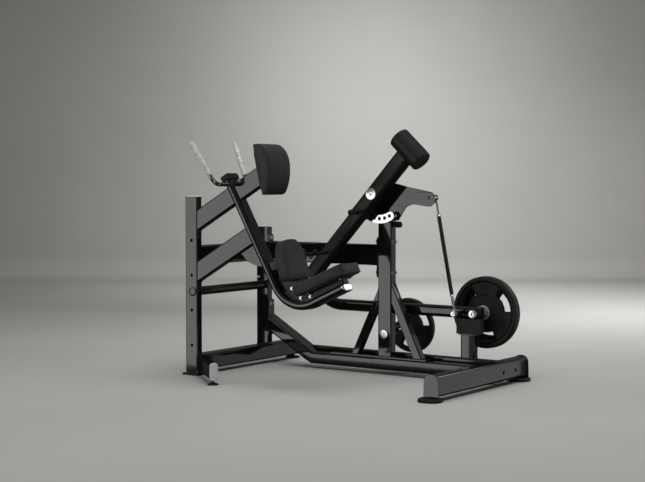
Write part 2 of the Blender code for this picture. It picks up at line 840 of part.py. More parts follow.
FOOT_PROFILE = [(0, 0), (0.071, 0), (0.0735, 0.003), (0.0735, 0.014), (0.069, 0.020), (0.0, 0.020)]
rear_foot_near = turned("rear_foot_near", FOOT_PROFILE, at(0.892, -0.432, 0), Z_AXIS, RUBBER, 32)
rear_foot_far = turned("rear_foot_far", FOOT_PROFILE, at(0.908, 0.612, 0), Z_AXIS, RUBBER, 32)

# ---------------------------------------------------------------- main column and its A frame
plate_top = RAIL_NEAR_Z[1] + GAP + PLATE_T
a_frame_plate = block(
    "a_frame_plate", (-0.345, RAIL_NEAR_Y - 0.037, RAIL_NEAR_Z[1] + GAP), (0.395, RAIL_NEAR_Y + 0.032, plate_top), BLACK
)
main_column = straight(
    "main_column",
    at(MAIN_X, SPINE_Y, plate_top + GAP),
    at(MAIN_X, SPINE_Y, MAIN_TOP),
    rect_profile(MAIN_W, MAIN_D),
    X_AXIS,
    BLACK,
    wall=WALL,
    blind_end=True,
)


def a_strut(name, foot_x, side, wide):
    """A square brace from the plate up to the column's side."""
    lean = math.radians(25.5)
    direction = Vector((-side * math.sin(lean), 0, math.cos(lean)))
    base = at(foot_x, SPINE_Y, plate_top)
    face_x = MAIN_X + side * (MAIN_W / 2 + GAP)
    return straight(
        name,
        base,
        base + direction * 0.4,
        rect_profile(0.054, wide, 0.006, 2),
        Y_AXIS,
        BLACK,
        wall=0.003,
        start=(at(0, 0, plate_top + GAP), Z_AXIS),
        end=(at(face_x, 0, 0), X_AXIS),
    )


a_strut_front = a_strut("a_strut_front", -0.163, -1, 0.046)
a_strut_rear = a_strut("a_strut_rear", 0.318, 1, 0.058)

# ---------------------------------------------------------------- rest post and block
post_base = RAIL_FAR_Z[1] + GAP
rest_post = straight(
    "rest_post",
    at(0.6245, LEVER_Y - 0.006, post_base),
    at(0.6245, LEVER_Y - 0.006, 0.286),
    rect_profile(TUBE_LONG, 0.062, 0.016),
    X_AXIS,
    BLACK,
    wall=WALL,
)
combine(rest_post, block("tool", (0.567, LEVER_Y - 0.044, 0.282), (0.712, LEVER_Y + 0.0245, 0.290), BLACK))
lever_bottom = LEVER_Z - LEVER_DEPTH / 2
rest_block = block(
    "rest_block", (0.554, LEVER_Y - 0.049, 0.290 + GAP), (0.722, LEVER_Y + 0.0065, lever_bottom - GAP), RUBBER, 0.004
)

# ---------------------------------------------------------------- storage horn and small weight plate
store_dir = Vector((0, math.cos(STORE_TILT), math.sin(STORE_TILT)))
store_base = at(MAIN_X, SPINE_Y + MAIN_D / 2, STORE_Z)
storage_horn = turned(
    "storage_horn",
    [(0, 0), (0.040, 0), (0.040, 0.010), (0.0245, 0.010), (0.0245, 0.325), (0.0215, 0.330), (0, 0.330)],
    store_base + store_dir * 0.0053,
    store_dir,
    STEEL,
    32,
)
storage_horn_cap = turned(
    "storage_horn_cap",
    [(0, 0), (0.026, 0), (0.026, 0.006), (0.021, 0.010), (0.007, 0.010), (0.006, 0.006), (0, 0.006)],
    at(MAIN_X, SPINE_Y - MAIN_D / 2 - GAP, STORE_Z),
    (0, -1, 0),
    CHROME,
    32,
)


def weight_plate(name, radius, thick, web_thick, origin, axis, bore):
    """A disc with a raised rim and hub, a bore and three curved grip openings through its web."""
    rim = radius * 0.86
    hub = radius * 0.30
    web = radius * 0.50
    deep = (thick - web_thick) / 2
    profile = [
        (bore, 0),
        (hub, 0),
        (web, deep),
        (rim - 0.004, deep + 0.002),
        (rim, 0.006),
        (rim + 0.006, 0),
        (radius - 0.008, 0),
        (radius, 0.008),
        (radius, thick - 0.008),
        (radius - 0.008, thick),
        (rim + 0.006, thick),
        (rim, thick - 0.006),
        (rim - 0.004, thick - deep - 0.002),
        (web, thick - deep),
        (hub, thick),
        (bore, thick),
    ]
    disc = turned(name, profile, origin, axis, RUBBER, 48)
    axis = Vector(axis).normalized()
    up = Vector(Z_AXIS) - axis * axis.z
    up.normalize()
    side = up.cross(axis).normalized()
    r_in, r_out, sweep_angle = radius * 0.50, radius * 0.82, math.radians(52)
    for centre_angle in (32.0, 152.0, 272.0):
        mid = math.radians(centre_angle)
        outline = []
        for k in range(7):
            a = mid - sweep_angle / 2 + sweep_angle * k / 6
            outline.append((r_out * math.cos(a), r_out * math.sin(a)))
        for k in range(7):
            a = mid + sweep_angle / 2 - sweep_angle * k / 6
            outline.append((r_in * math.cos(a), r_in * math.sin(a)))
        cutter = slab("tool", outline, origin - axis * 0.02, side, up, 0.01, STEEL)
        w = side.cross(up).normalized()
        sign = 1.0 if w.dot(axis) > 0 else -1.0
        bpy.data.objects.remove(cutter)
        cutter = slab("tool", outline, origin - axis * 0.02, side, up, sign * (thick + 0.04), STEEL)
        combine(disc, cutter, "DIFFERENCE")
    return disc


HORN_R = 0.0245
small_at = 0.240
plate_small = weight_plate(
    "plate_small", PLATE_SMALL_R, PLATE_SMALL_T, 0.020, store_base + store_dir * small_at, store_dir, HORN_R + 0.0008
)
store_axis = axis_empty("store_axis", store_base + store_dir * small_at)
hang(store_axis, plate_small)

# ---------------------------------------------------------------- bearing housing, stop plate and bumper on the column
BEARING_Y = (0.336, 0.420)
bearing_housing = block("bearing_housing", (0.030, 0.352, MAIN_TOP + GAP), (0.118, 0.404, 1.150), BLACK)
combine(bearing_housing, rod(0.042, at(PIVOT[0], BEARING_Y[0], PIVOT[1]), Y_AXIS, BEARING_Y[1] - BEARING_Y[0], 32))
combine(bearing_housing, rod(SHAFT_R + 0.0003, at(PIVOT[0], BEARING_Y[0] - 0.01, PIVOT[1]), Y_AXIS, 0.12, 32), "DIFFERENCE")
stop_bumper = turned(
    "stop_bumper",
    [(0, 0), (0.012, 0), (0.012, 0.010), (0.020, 0.011), (0.020, 0.046), (0.013, 0.056), (0, 0.058)],
    at(MAIN_X + MAIN_W / 2 + GAP, SPINE_Y + 0.006, 0.972),
    X_AXIS,
    RUBBER,
    24,
)

# ---------------------------------------------------------------- lever bracket with its pin, on the far column
lp = LEVER_PIVOT
bracket_y = SPINE_Y + TUBE_SHORT / 2 + GAP
lever_bracket = xz_slab(
    "lever_bracket",
    rounded_outline(
        [(-0.975, lp[1] - 0.075), (-0.890, lp[1] - 0.075), (lp[0] + 0.042, lp[1] - 0.040), (lp[0] + 0.042, lp[1] + 0.040), (-0.890, lp[1] + 0.060), (-0.975, lp[1] + 0.060)],
        [0.010, 0.02, 0.030, 0.030, 0.02, 0.010],
        3,
    ),
    bracket_y,
    bracket_y + 0.012,
    BLACK,
)
PIN_R = 0.0125
combine(lever_bracket, rod(0.026, at(lp[0], bracket_y + 0.010, lp[1]), Y_AXIS, 0.040, 24))
combine(lever_bracket, rod(PIN_R, at(lp[0], bracket_y + 0.040, lp[1]), Y_AXIS, LEVER_Y + 0.038 - bracket_y - 0.040, 24))

# ---------------------------------------------------------------- kick arm
arm_dir = Vector((math.cos(ARM_ANGLE), 0, math.sin(ARM_ANGLE)))
arm_side = Vector((math.sin(ARM_ANGLE), 0, -math.cos(ARM_ANGLE)))
pivot_point = at(PIVOT[0], ARM_Y, PIVOT[1])
sleeve_profile = rect_profile(SLEEVE_WIDTH, SLEEVE_DEPTH, 0.026, 4)
arm_sleeve = straight(
    "arm_sleeve",
    pivot_point + arm_dir * SLEEVE_LOW,
    pivot_point + arm_dir * SLEEVE_HIGH,
    sleeve_profile,
    Y_AXIS,
    BLACK,
    wall=WALL,
)
combine(arm_sleeve, rod(SHAFT_R + 0.0003, pivot_point - Vector((0, 0.08, 0)), Y_AXIS, 0.16, 24), "DIFFERENCE")
head_centre = pivot_point + arm_dir * WEIGHT_HEAD_AT
half_head = WEIGHT_HEAD_LENGTH / 2
combine(arm_sleeve, rod(WEIGHT_HEAD_R + GAP, head_centre - arm_side * half_head, arm_side, WEIGHT_HEAD_LENGTH, 40), "DIFFERENCE")
counterweight = turned(
    "counterweight",
    [
        (0, 0),
        (WEIGHT_HEAD_R - 0.010, 0),
        (WEIGHT_HEAD_R - 0.003, 0.003),
        (WEIGHT_HEAD_R, 0.010),
        (WEIGHT_HEAD_R, WEIGHT_HEAD_LENGTH - 0.010),
        (WEIGHT_HEAD_R - 0.003, WEIGHT_HEAD_LENGTH - 0.003),
        (WEIGHT_HEAD_R - 0.010, WEIGHT_HEAD_LENGTH),
        (0, WEIGHT_HEAD_LENGTH),
    ],
    head_centre - arm_side * half_head,
    arm_side,
    RUBBER,
    40,
)
near_face = ARM_Y - SLEEVE_WIDTH / 2
far_face = ARM_Y + SLEEVE_WIDTH / 2
pivot_shaft = turned(
    "pivot_shaft",
    [
        (0, 0),
        (0.012, 0),
        (0.013, 0.004),
        (0.034, 0.001),
        (0.0375, 0.005),
        (0.0375, 0.013 - GAP),
        (SHAFT_R, 0.013 - GAP),
        (SHAFT_R, 0.275),
        (0, 0.275),
    ],
    at(PIVOT[0], near_face - 0.013, PIVOT[1]),
    Y_AXIS,
    CHROME,
    32,
)
# selector: a bright arc around the pivot, stood off the gooseneck plate on two studs
sector_mid, sector_half = (SECTOR_IN + SECTOR_OUT) / 2, (SECTOR_OUT - SECTOR_IN) / 2
sector = []
for i in range(25):
    angle = math.radians(SECTOR_FROM + (SECTOR_TO - SECTOR_FROM) * i / 24)
    sector.append((PIVOT[0] + SECTOR_OUT * math.cos(angle), PIVOT[1] + SECTOR_OUT * math.sin(angle)))
end_angle = math.radians(SECTOR_TO)
for i in range(1, 8):
    turn = end_angle + math.pi * i / 8
    sector.append(
        (
            PIVOT[0] + sector_mid * math.cos(end_angle) + sector_half * math.cos(turn),
            PIVOT[1] + sector_mid * math.sin(end_angle) + sector_half * math.sin(turn),
        )
    )
for i in range(19):
    angle = math.radians(SECTOR_TO + (SECTOR_FROM - SECTOR_TO) * i / 18)
    sector.append((PIVOT[0] + SECTOR_IN * math.cos(angle), PIVOT[1] + SECTOR_IN * math.sin(angle)))
sector_holes = []
for i in range(7):
    a = math.radians(ARM_ANGLE_DEG - 180 + SECTOR_STEP * (i - 1))
    sector_holes.append((PIVOT[0] + 0.159 * math.cos(a), PIVOT[1] + 0.159 * math.sin(a), 0.0110))
sector_plate = xz_slab("sector_plate", sector, far_face + GAP + 0.002, 0.2885, CHROME, sector_holes, 14)
for stud in (-71.0, -98.0):
    a = math.radians(stud)
    place = at(PIVOT[0] + 0.1405 * math.cos(a), 0.2875, PIVOT[1] + 0.1405 * math.sin(a))
    combine(sector_plate, rod(0.0055, place, Y_AXIS, GOOSE_Y[0] - GAP - 0.2875, 16))
goose_outline = rounded_outline(
    [
        (0.020, 1.232),
        (0.178, 1.236),
        (0.252, 1.217),
        (0.446, 1.181),
        (0.476, 1.126),
        (0.428, 1.090),
        (0.300, 1.106),
        (0.252, 1.088),
        (0.190, 0.998),
        (0.150, 1.010),
        (0.020, 1.108),
    ],
    [0.06, 0.02, 0.0, 0.034, 0.034, 0.034, 0.03, 0.03, 0.012, 0.012, 0.05],
    5,
)
gooseneck_plate = xz_slab(
    "gooseneck_plate",
    goose_outline,
    GOOSE_Y[0],
    GOOSE_Y[1],
    BLACK,
    [(PIVOT[0], PIVOT[1], SHAFT_R + 0.0003), (GOOSE_EYE[0], GOOSE_EYE[1], 0.0083)],
    24,
)
combine(
    gooseneck_plate,
    turned(
        "tool",
        [(SHAFT_R + 0.0003, 0), (0.036, 0), (0.036, 0.044), (SHAFT_R + 0.0003, 0.044)],
        at(PIVOT[0], far_face + GAP, PIVOT[1]),
        Y_AXIS,
        BLACK,
        32,
    ),
)
arm_axis = axis_empty("arm_axis", pivot_point)
hang(arm_axis, arm_sleeve, counterweight, pivot_shaft, sector_plate, gooseneck_plate)

# telescoping lower tube with the foot plate
extension_profile = rect_profile(SLEEVE_WIDTH - 2 * WALL - 0.0016, SLEEVE_DEPTH - 2 * WALL - 0.0016, 0.0225, 4)
arm_extension = straight(
    "arm_extension",
    pivot_point + arm_dir * -0.035,
    pivot_point + arm_dir * EXTENSION_LOW,
    extension_profile,
    Y_AXIS,
    BLACK,
    wall=WALL,
    blind_end=True,
)
foot_at = pivot_point + arm_dir * FOOT_AT
ext_half = (SLEEVE_WIDTH - 2 * WALL - 0.0016) / 2
bar_near = Vector((foot_at.x, FOOT_Y[0] - 0.012 - ORIGIN_Y, foot_at.z))
combine(arm_extension, rod(FOOT_BAR_R, bar_near, Y_AXIS, ARM_Y - ext_half + 0.002 - FOOT_Y[0] + 0.012, 20))
foot_bracket = straight(
    "tool",
    foot_at + arm_dir * 0.040 + Vector((0, 0.045 - ARM_Y, 0)),
    foot_at - arm_dir * 0.040 + Vector((0, 0.045 - ARM_Y, 0)),
    rect_profile(0.007, 0.026, 0.003, 2),
    Y_AXIS,
    BLACK,
)
combine(arm_extension, foot_bracket)
foot_roller = turned(
    "foot_roller",
    [
        (FOOT_BAR_R + 0.0004, 0),
        (0.036, 0),
        (0.043, 0.003),
        (0.047, 0.012),
        (0.047, FOOT_Y[1] - FOOT_Y[0] - 0.012),
        (0.043, FOOT_Y[1] - FOOT_Y[0] - 0.003),
        (0.036, FOOT_Y[1] - FOOT_Y[0]),
        (FOOT_BAR_R + 0.0004, FOOT_Y[1] - FOOT_Y[0]),
    ],
    Vector((foot_at.x, FOOT_Y[0] - ORIGIN_Y, foot_at.z)),
    Y_AXIS,
    RUBBER,
    32,
)
extension_axis = axis_empty("extension_axis", pivot_point + arm_dir * EXTENSION_LOW)
roller_axis = axis_empty("roller_axis", Vector((foot_at.x, FOOT_Y[0] - ORIGIN_Y, foot_at.z)))
hang(roller_axis, foot_roller)
hang(extension_axis, arm_extension, roller_axis)

# pull pin in its boss on the sleeve
pin_centre = pivot_point + arm_dir * -0.159
pin_point = Vector((pin_centre.x, near_face - ORIGIN_Y, pin_centre.z))
combine(
    arm_sleeve,
    turned(
        "tool",
        [(0.0065, -0.002), (0.0165, -0.002), (0.0165, 0.012), (0.0125, 0.016), (0.0125, 0.046), (0.0065, 0.046)],
        pin_point,
        (0, -1, 0),
        BLACK,
        20,
    ),
)
pull_pin = turned(
    "pull_pin",
    [(0, 0.001), (0.006, 0.001), (0.006, 0.052), (0.010, 0.055), (0.0175, 0.062), (0.0185, 0.074), (0.016, 0.087), (0.008, 0.094), (0, 0.095)],
    pin_point,
    (0, -1, 0),
    STEEL,
    20,
)
pin_axis = axis_empty("pull_pin_axis", pin_point)
hang(pin_axis, pull_pin)
hang(arm_axis, extension_axis, pin_axis)

# ---------------------------------------------------------------- tie rod
eye_top = at(GOOSE_EYE[0], ROD_Y, GOOSE_EYE[1])
eye_low = at(ROD_LOW[0], ROD_Y, ROD_LOW[1])
rod_dir = (eye_low - eye_top).normalized()
rod_length = (eye_low - eye_top).length
tie_rod = turned(
    "tie_rod",
    [
        (0, 0.006),
        (0.0065, 0.010),
        (0.0065, 0.120),
        (0.0125, 0.124),
        (0.0125, rod_length - 0.130),
        (0.0105, rod_length - 0.124),
        (0.0065, rod_length - 0.110),
        (0.0065, rod_length - 0.010),
        (0, rod_length - 0.006),
    ],
    eye_top,
    rod_dir,
    BLACK,
    16,
)
for eye, sign in ((eye_top, -1), (eye_low, 1)):
    combine(tie_rod, rod(0.019, eye - Vector((0, 0.010, 0)), Y_AXIS, 0.020, 24))
# the upper bolt runs from the rod end to the gooseneck; the lower one carries a chrome cap
combine(tie_rod, rod(0.008, at(GOOSE_EYE[0], GOOSE_Y[1] + 0.0006, GOOSE_EYE[1]), Y_AXIS, ROD_Y - GOOSE_Y[1], 16))
combine(tie_rod, rod(0.009, eye_low - Vector((0, 0.022, 0)), Y_AXIS, 0.044, 16))
rod_axis = axis_empty("rod_axis", eye_top)
hang(rod_axis, tie_rod)
hang(arm_axis, rod_axis)

# ---------------------------------------------------------------- weight lever, load horn and large plate
lever_path = filleted(
    [at(lp[0], LEVER_Y, lp[1]), at(LEVER_BEND_X, LEVER_Y, LEVER_Z), at(LEVER_END_X, LEVER_Y, LEVER_Z)], [0.22], 6
)
lever_start = (lever_path[1] - lever_path[0]).normalized()
lever_path[0] = lever_path[0] + lever_start * 0.012
weight_lever = sweep(
    "weight_lever", lever_path, rect_profile(LEVER_WIDTH, LEVER_DEPTH, 0.016, 3), Y_AXIS, BLACK, wall=WALL, blind_end=True
)
combine(weight_lever, rod(0.034, at(lp[0], LEVER_Y - 0.031, lp[1]), Y_AXIS, 0.062, 32))
combine(weight_lever, rod(PIN_R + 0.0003, at(lp[0], LEVER_Y - 0.05, lp[1]), Y_AXIS, 0.10, 24), "DIFFERENCE")
combine(weight_lever, rod(0.0203, at(HORN[0], LEVER_Y - 0.05, HORN[1]), Y_AXIS, 0.10, 32), "DIFFERENCE")
horn_y0 = LEVER_Y - LEVER_WIDTH / 2 - 0.030
horn_span = 0.745 - horn_y0
hub_y = LEVER_Y + LEVER_WIDTH / 2 + GAP - horn_y0
load_horn = turned(
    "load_horn",
    [
        (0, 0),
        (0.020, 0),
        (0.0265, 0.003),
        (0.0265, 0.012),
        (0.020, 0.013),
        (0.020, hub_y),
        (0.043, hub_y),
        (0.043, hub_y + 0.066),
        (HORN_R, hub_y + 0.068),
        (HORN_R, horn_span - 0.005),
        (0.0215, horn_span),
        (0, horn_span),
    ],
    at(HORN[0], horn_y0, HORN[1]),
    Y_AXIS,
    STEEL,
    32,
)
combine(
    weight_lever,
    turned(
        "tool",
        [(0, -0.002), (0.014, -0.002), (0.014, 0.038), (0.009, 0.040), (0, 0.040)],
        at(ROD_LOW[0], LEVER_Y - LEVER_WIDTH / 2, ROD_LOW[1] + 0.002),
        (0, -1, 0),
        BLACK,
        20,
    ),
)
plate_large = weight_plate(
    "plate_large",
    PLATE_LARGE_R,
    PLATE_LARGE_T,
    0.028,
    at(HORN[0], PLATE_LARGE_Y - PLATE_LARGE_T / 2, HORN[1]),
    Y_AXIS,
    HORN_R + 0.0008,
)
horn_axis = axis_empty("horn_axis", at(HORN[0], PLATE_LARGE_Y - PLATE_LARGE_T / 2, HORN[1]))
PLATE_SECOND_R = 0.196
PLATE_SECOND_Y = PLATE_LARGE_Y + PLATE_LARGE_T / 2 + 0.002  # its near face, just behind the large plate
plate_second = weight_plate(
    "plate_second", PLATE_SECOND_R, PLATE_SMALL_T, 0.020, at(HORN[0], PLATE_SECOND_Y, HORN[1]), Y_AXIS, HORN_R + 0.0008
)
hang(horn_axis, plate_large, plate_second)
lever_axis = axis_empty("lever_axis", at(lp[0], LEVER_Y, lp[1]))
hang(lever_axis, weight_lever, load_horn, horn_axis)
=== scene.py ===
"""Pendulum kickback machine: the finish of every surface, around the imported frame.

Metres, +Z up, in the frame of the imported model. Every shown piece is modelled here at full
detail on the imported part's own dimensions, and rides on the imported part's bodies.
"""

import json
import math

import bmesh
import bpy
import numpy as np
from mathutils import Matrix, Vector, noise
from mathutils.bvhtree import BVHTree
from mathutils.geometry import tessellate_polygon


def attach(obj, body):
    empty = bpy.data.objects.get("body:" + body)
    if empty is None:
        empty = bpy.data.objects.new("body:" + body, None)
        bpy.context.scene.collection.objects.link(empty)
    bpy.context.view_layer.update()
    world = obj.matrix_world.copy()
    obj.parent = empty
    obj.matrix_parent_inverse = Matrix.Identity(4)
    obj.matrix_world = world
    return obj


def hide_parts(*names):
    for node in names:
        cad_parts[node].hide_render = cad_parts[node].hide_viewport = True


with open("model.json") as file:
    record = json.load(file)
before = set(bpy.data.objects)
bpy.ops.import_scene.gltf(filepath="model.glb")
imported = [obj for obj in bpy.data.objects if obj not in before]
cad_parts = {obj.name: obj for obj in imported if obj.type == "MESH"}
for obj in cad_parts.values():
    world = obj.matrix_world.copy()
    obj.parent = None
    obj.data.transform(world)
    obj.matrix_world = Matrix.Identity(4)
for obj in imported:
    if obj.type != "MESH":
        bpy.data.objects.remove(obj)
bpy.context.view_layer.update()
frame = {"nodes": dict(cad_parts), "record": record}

scene = bpy.context.scene

# ---------------------------------------------------------------- driving dimensions
GAP = 0.0003  # air kept between two pieces that touch

# The layout is laid out from a datum on the floor; this is where the origin lies in it.
ORIGIN_X = -0.00925
ORIGIN_Y = 0.03655

# frame tube sections
TUBE_LONG = 0.100
TUBE_SHORT = 0.050
WALL = 0.004
CORNER = 0.008

# planes, by their middle
USER_Y = -0.364  # user column, struts and pads
SPINE_Y = 0.378  # far column, spine beam, main column
LEVER_Y = 0.486  # weight lever

COLUMN_X = -0.932
NEAR_COLUMN_TOP = 1.150
FAR_COLUMN_TOP = 0.937
FRONT_BEAM_Z = (0.030, 0.130)
FRONT_BEAM_END_Y = 0.765

STRUT_DEPTH = 0.118
UPPER_STRUT_Z = 1.0000
UPPER_STRUT_ANGLE = math.radians(29.2)
LOWER_STRUT_Z = 0.6705
LOWER_STRUT_ANGLE = math.radians(29.5)

# J-shaped seat tube: flat oval, in the XZ plane
J_WIDTH = 0.100
J_DEPTH = 0.050
J_TOP = (-0.621, 1.252)
J_CORNER = (-0.1500, 0.4290)
J_END = (0.2636, 0.6194)
J_RADIUS = 0.22
J_Y = -0.360

# kick arm
PIVOT = (0.079, 1.170)
ARM_ANGLE_DEG = 47.1
ARM_ANGLE = math.radians(ARM_ANGLE_DEG)
ARM_Y = 0.230
SLEEVE_DEPTH = 0.105
SLEEVE_WIDTH = 0.090
SLEEVE_LOW = -0.182
SLEEVE_HIGH = 0.350
EXTENSION_LOW = -0.735
FOOT_AT = -0.526  # the foot bar, along the arm from the pivot
FOOT_Y = (-0.215, -0.070)  # the foot roller
FOOT_BAR_R = 0.0095
WEIGHT_HEAD_AT = 0.381
WEIGHT_HEAD_R = 0.069
WEIGHT_HEAD_LENGTH = 0.234
SHAFT_R = 0.0175
SECTOR_IN = 0.134
SECTOR_OUT = 0.190
SECTOR_FROM = -158.0
SECTOR_TO = -60.0
SECTOR_STEP = 14.2
GOOSE_EYE = (0.425, 1.146)
GOOSE_Y = (0.318, 0.330)

# tie rod and weight lever
ROD_LOW = (0.568, 0.418)
ROD_Y = 0.397
LEVER_PIVOT = (-0.820, 0.654)
LEVER_Z = 0.423
LEVER_BEND_X = -0.420
LEVER_END_X = 0.715
LEVER_DEPTH = 0.075
LEVER_WIDTH = 0.050
HORN = (0.672, 0.418)

# base
RAIL_NEAR_Y = 0.370
RAIL_NEAR_W = 0.070
RAIL_NEAR_Z = (0.030, 0.108)
RAIL_NEAR_BEND_X = -0.505
RAIL_FAR_Y = 0.472
RAIL_FAR_W = 0.060
RAIL_FAR_Z = (0.030, 0.136)
RAIL_FAR_BEND_X = -0.614
RAIL_SLOPE = math.radians(30.0)
REAR_BEAM_X = 0.900
REAR_BEAM_W = 0.086
REAR_BEAM_Z = (0.026, 0.150)
REAR_BEAM_Y = (-0.430, 0.652)

MAIN_X = 0.0715
MAIN_W = 0.102
MAIN_D = 0.060
MAIN_TOP = 1.030
PLATE_T = 0.010

# weight plates
PLATE_LARGE_R = 0.230
PLATE_LARGE_T = 0.060
PLATE_LARGE_Y = 0.613
PLATE_SMALL_R = 0.184
PLATE_SMALL_T = 0.038
STORE_TILT = math.radians(7.0)
STORE_Z = 0.263

# ---------------------------------------------------------------- materials
class Finish:
    """A procedural material, built up from one Principled shader in object space."""

    def __init__(self, name, base, rough, metal=0.0, **sockets):
        self.material = bpy.data.materials.new(name)
        self.material.use_nodes = True
        self.tree = self.material.node_tree
        self.shader = self.tree.nodes["Principled BSDF"]
        self.shader.inputs["Base Color"].default_value = (*base, 1.0)
        self.shader.inputs["Roughness"].default_value = rough
        self.shader.inputs["Metallic"].default_value = metal
        for socket, value in sockets.items():
            self.shader.inputs[socket.replace("_", " ")].default_value = value
        self.base = base
        self.rough = rough
        self.place = self.tree.nodes.new("ShaderNodeTexCoord").outputs["Object"]
        self.normal = None
        self.material.diffuse_color = (*base, 1.0)

    def node(self, kind, **values):
        node = self.tree.nodes.new(kind)
        for key, value in values.items():
            if key in node.inputs:
                node.inputs[key].default_value = value
            else:
                setattr(node, key, value)
        return node

    def stretched(self, scale):
        mapping = self.node("ShaderNodeMapping")
        mapping.inputs["Scale"].default_value = scale
        self.tree.links.new(self.place, mapping.inputs["Vector"])
        return mapping.outputs["Vector"]

    def turned_stretch(self, degrees, scale):
        """Coordinates turned about Y, so that X runs along a sloping arm, and then stretched."""
        turn = self.node("ShaderNodeMapping")
        turn.inputs["Rotation"].default_value = (0.0, math.radians(degrees), 0.0)
        self.tree.links.new(self.place, turn.inputs["Vector"])
        mapping = self.node("ShaderNodeMapping")
        mapping.inputs["Scale"].default_value = scale
        self.tree.links.new(turn.outputs["Vector"], mapping.inputs["Vector"])
        return mapping.outputs["Vector"]

    def noise(self, scale, detail=3.0, rough=0.5, vector=None, distortion=0.0):
        node = self.node("ShaderNodeTexNoise", Scale=scale, Detail=detail, Roughness=rough, Distortion=distortion)
        self.tree.links.new(vector or self.place, node.inputs["Vector"])
        return node.outputs["Fac"]

    def cells(self, scale, feature="F1", metric_out="Distance", randomness=1.0, vector=None):
        node = self.node("ShaderNodeTexVoronoi", feature=feature)
        node.inputs["Scale"].default_value = scale
        node.inputs["Randomness"].default_value = randomness
        self.tree.links.new(vector or self.place, node.inputs["Vector"])
        return node.outputs[metric_out]

    def ranged(self, value, low, high, out_low, out_high):
        node = self.node("ShaderNodeMapRange")
        node.inputs["From Min"].default_value = low
        node.inputs["From Max"].default_value = high
        node.inputs["To Min"].default_value = out_low
        node.inputs["To Max"].default_value = out_high
        self.tree.links.new(value, node.inputs["Value"])
        return node.outputs["Result"]

    def times(self, a, b):
        node = self.node("ShaderNodeMath", operation="MULTIPLY")
        self.tree.links.new(a, node.inputs[0])
        self.tree.links.new(b, node.inputs[1])
        return node.outputs[0]

    def plus(self, a, b):
        node = self.node("ShaderNodeMath", operation="ADD")
        self.tree.links.new(a, node.inputs[0])
        self.tree.links.new(b, node.inputs[1])
        return node.outputs[0]

    def colour(self, value, *stops):
        """value looked up in a ramp of (position, colour) stops, on the base colour."""
        ramp = self.node("ShaderNodeValToRGB")
        elements = ramp.color_ramp.elements
        while len(elements) < len(stops):
            elements.new(0.5)
        for element, (position, shade) in zip(elements, stops):
            element.position = position
            element.color = (*shade, 1.0)
        self.tree.links.new(value, ramp.inputs["Fac"])
        self.tree.links.new(ramp.outputs["Color"], self.shader.inputs["Base Color"])
        return self

    def roughness(self, value, low, high, out_low, out_high):
        self.tree.links.new(self.ranged(value, low, high, out_low, out_high), self.shader.inputs["Roughness"])
        return self

    def bump(self, value, distance, strength=1.0):
        node = self.node("ShaderNodeBump", Strength=strength, Distance=distance)
        self.tree.links.new(value, node.inputs["Height"])
        if self.normal is not None:
            self.tree.links.new(self.normal, node.inputs["Normal"])
        self.normal = node.outputs["Normal"]
        self.tree.links.new(self.normal, self.shader.inputs["Normal"])
        return self


def shades(base, *factors):
    """(position, colour) stops from (position, factor) pairs."""
    return [(position, tuple(channel * factor for channel in base)) for position, factor in factors]


def powder(name, base=(0.0085, 0.0085, 0.0086), rough=0.055, coat=0.55):
    """Gloss black powder coat: a faint orange peel, clouded gloss and a trace of dust."""
    made = Finish(name, base, rough, Coat_Weight=coat, Coat_Roughness=0.03, Coat_IOR=1.5, IOR=1.5)
    cloud = made.noise(9.0, 4.0, 0.6)
    made.colour(cloud, *shades(base, (0.25, 0.8), (0.75, 1.25)))
    made.roughness(made.noise(34.0, 5.0, 0.65), 0.3, 0.75, rough * 0.75, rough * 1.6)
    made.bump(made.noise(330.0, 2.0, 0.5), 0.00030, 0.035)
    made.bump(made.noise(14.0, 2.0, 0.5), 0.003, 0.012)
    return made.material


def drawn_satin(name, base=(0.0125, 0.0122, 0.0112), rough=0.34):
    """Satin black coat on drawn tube: long faint streaks along the arm and a softened gloss; the paler streaks in its
    colour are painted reflection streaks.
    """
    made = Finish(name, base, rough, IOR=1.5, Specular_IOR_Level=0.42)
    along = made.noise(1.0, 5.0, 0.65, made.turned_stretch(47.1, (4.0, 60.0, 95.0)))
    # painted reflection: the colour streaks along the arm stand in for streaked reflections of the tube
    made.colour(along, *shades(base, (0.3, 0.7), (0.75, 1.5)))
    made.roughness(along, 0.3, 0.75, rough * 0.65, rough * 1.5)
    made.bump(along, 0.0006, 0.10)
    made.bump(made.noise(330.0, 2.0, 0.5), 0.0003, 0.08)
    return made.material


def chrome_plate(name, base=(0.80, 0.80, 0.80), rough=0.07):
    """Polished chrome with faint handling marks."""
    made = Finish(name, base, rough, 1.0)
    made.colour(made.noise(18.0, 3.0), *shades(base, (0.3, 0.93), (0.7, 1.0)))
    made.roughness(made.noise(60.0, 6.0, 0.7), 0.35, 0.8, rough * 0.6, rough * 2.2)
    made.bump(made.noise(25.0, 2.0), 0.002, 0.02)
    return made.material


def satin_plate(name, base=(0.46, 0.46, 0.45), rough=0.28, grain=(40.0, 900.0, 40.0), metal=1.0):
    """Zinc plated or brushed steel: fine drawn lines across one axis."""
    made = Finish(name, base, rough, metal)
    lines = made.noise(1.0, 4.0, 0.6, made.stretched(grain))
    made.colour(lines, *shades(base, (0.2, 0.85), (0.8, 1.08)))
    made.roughness(lines, 0.3, 0.7, rough * 0.8, rough * 1.35)
    made.bump(lines, 0.0002, 0.12)
    return made.material


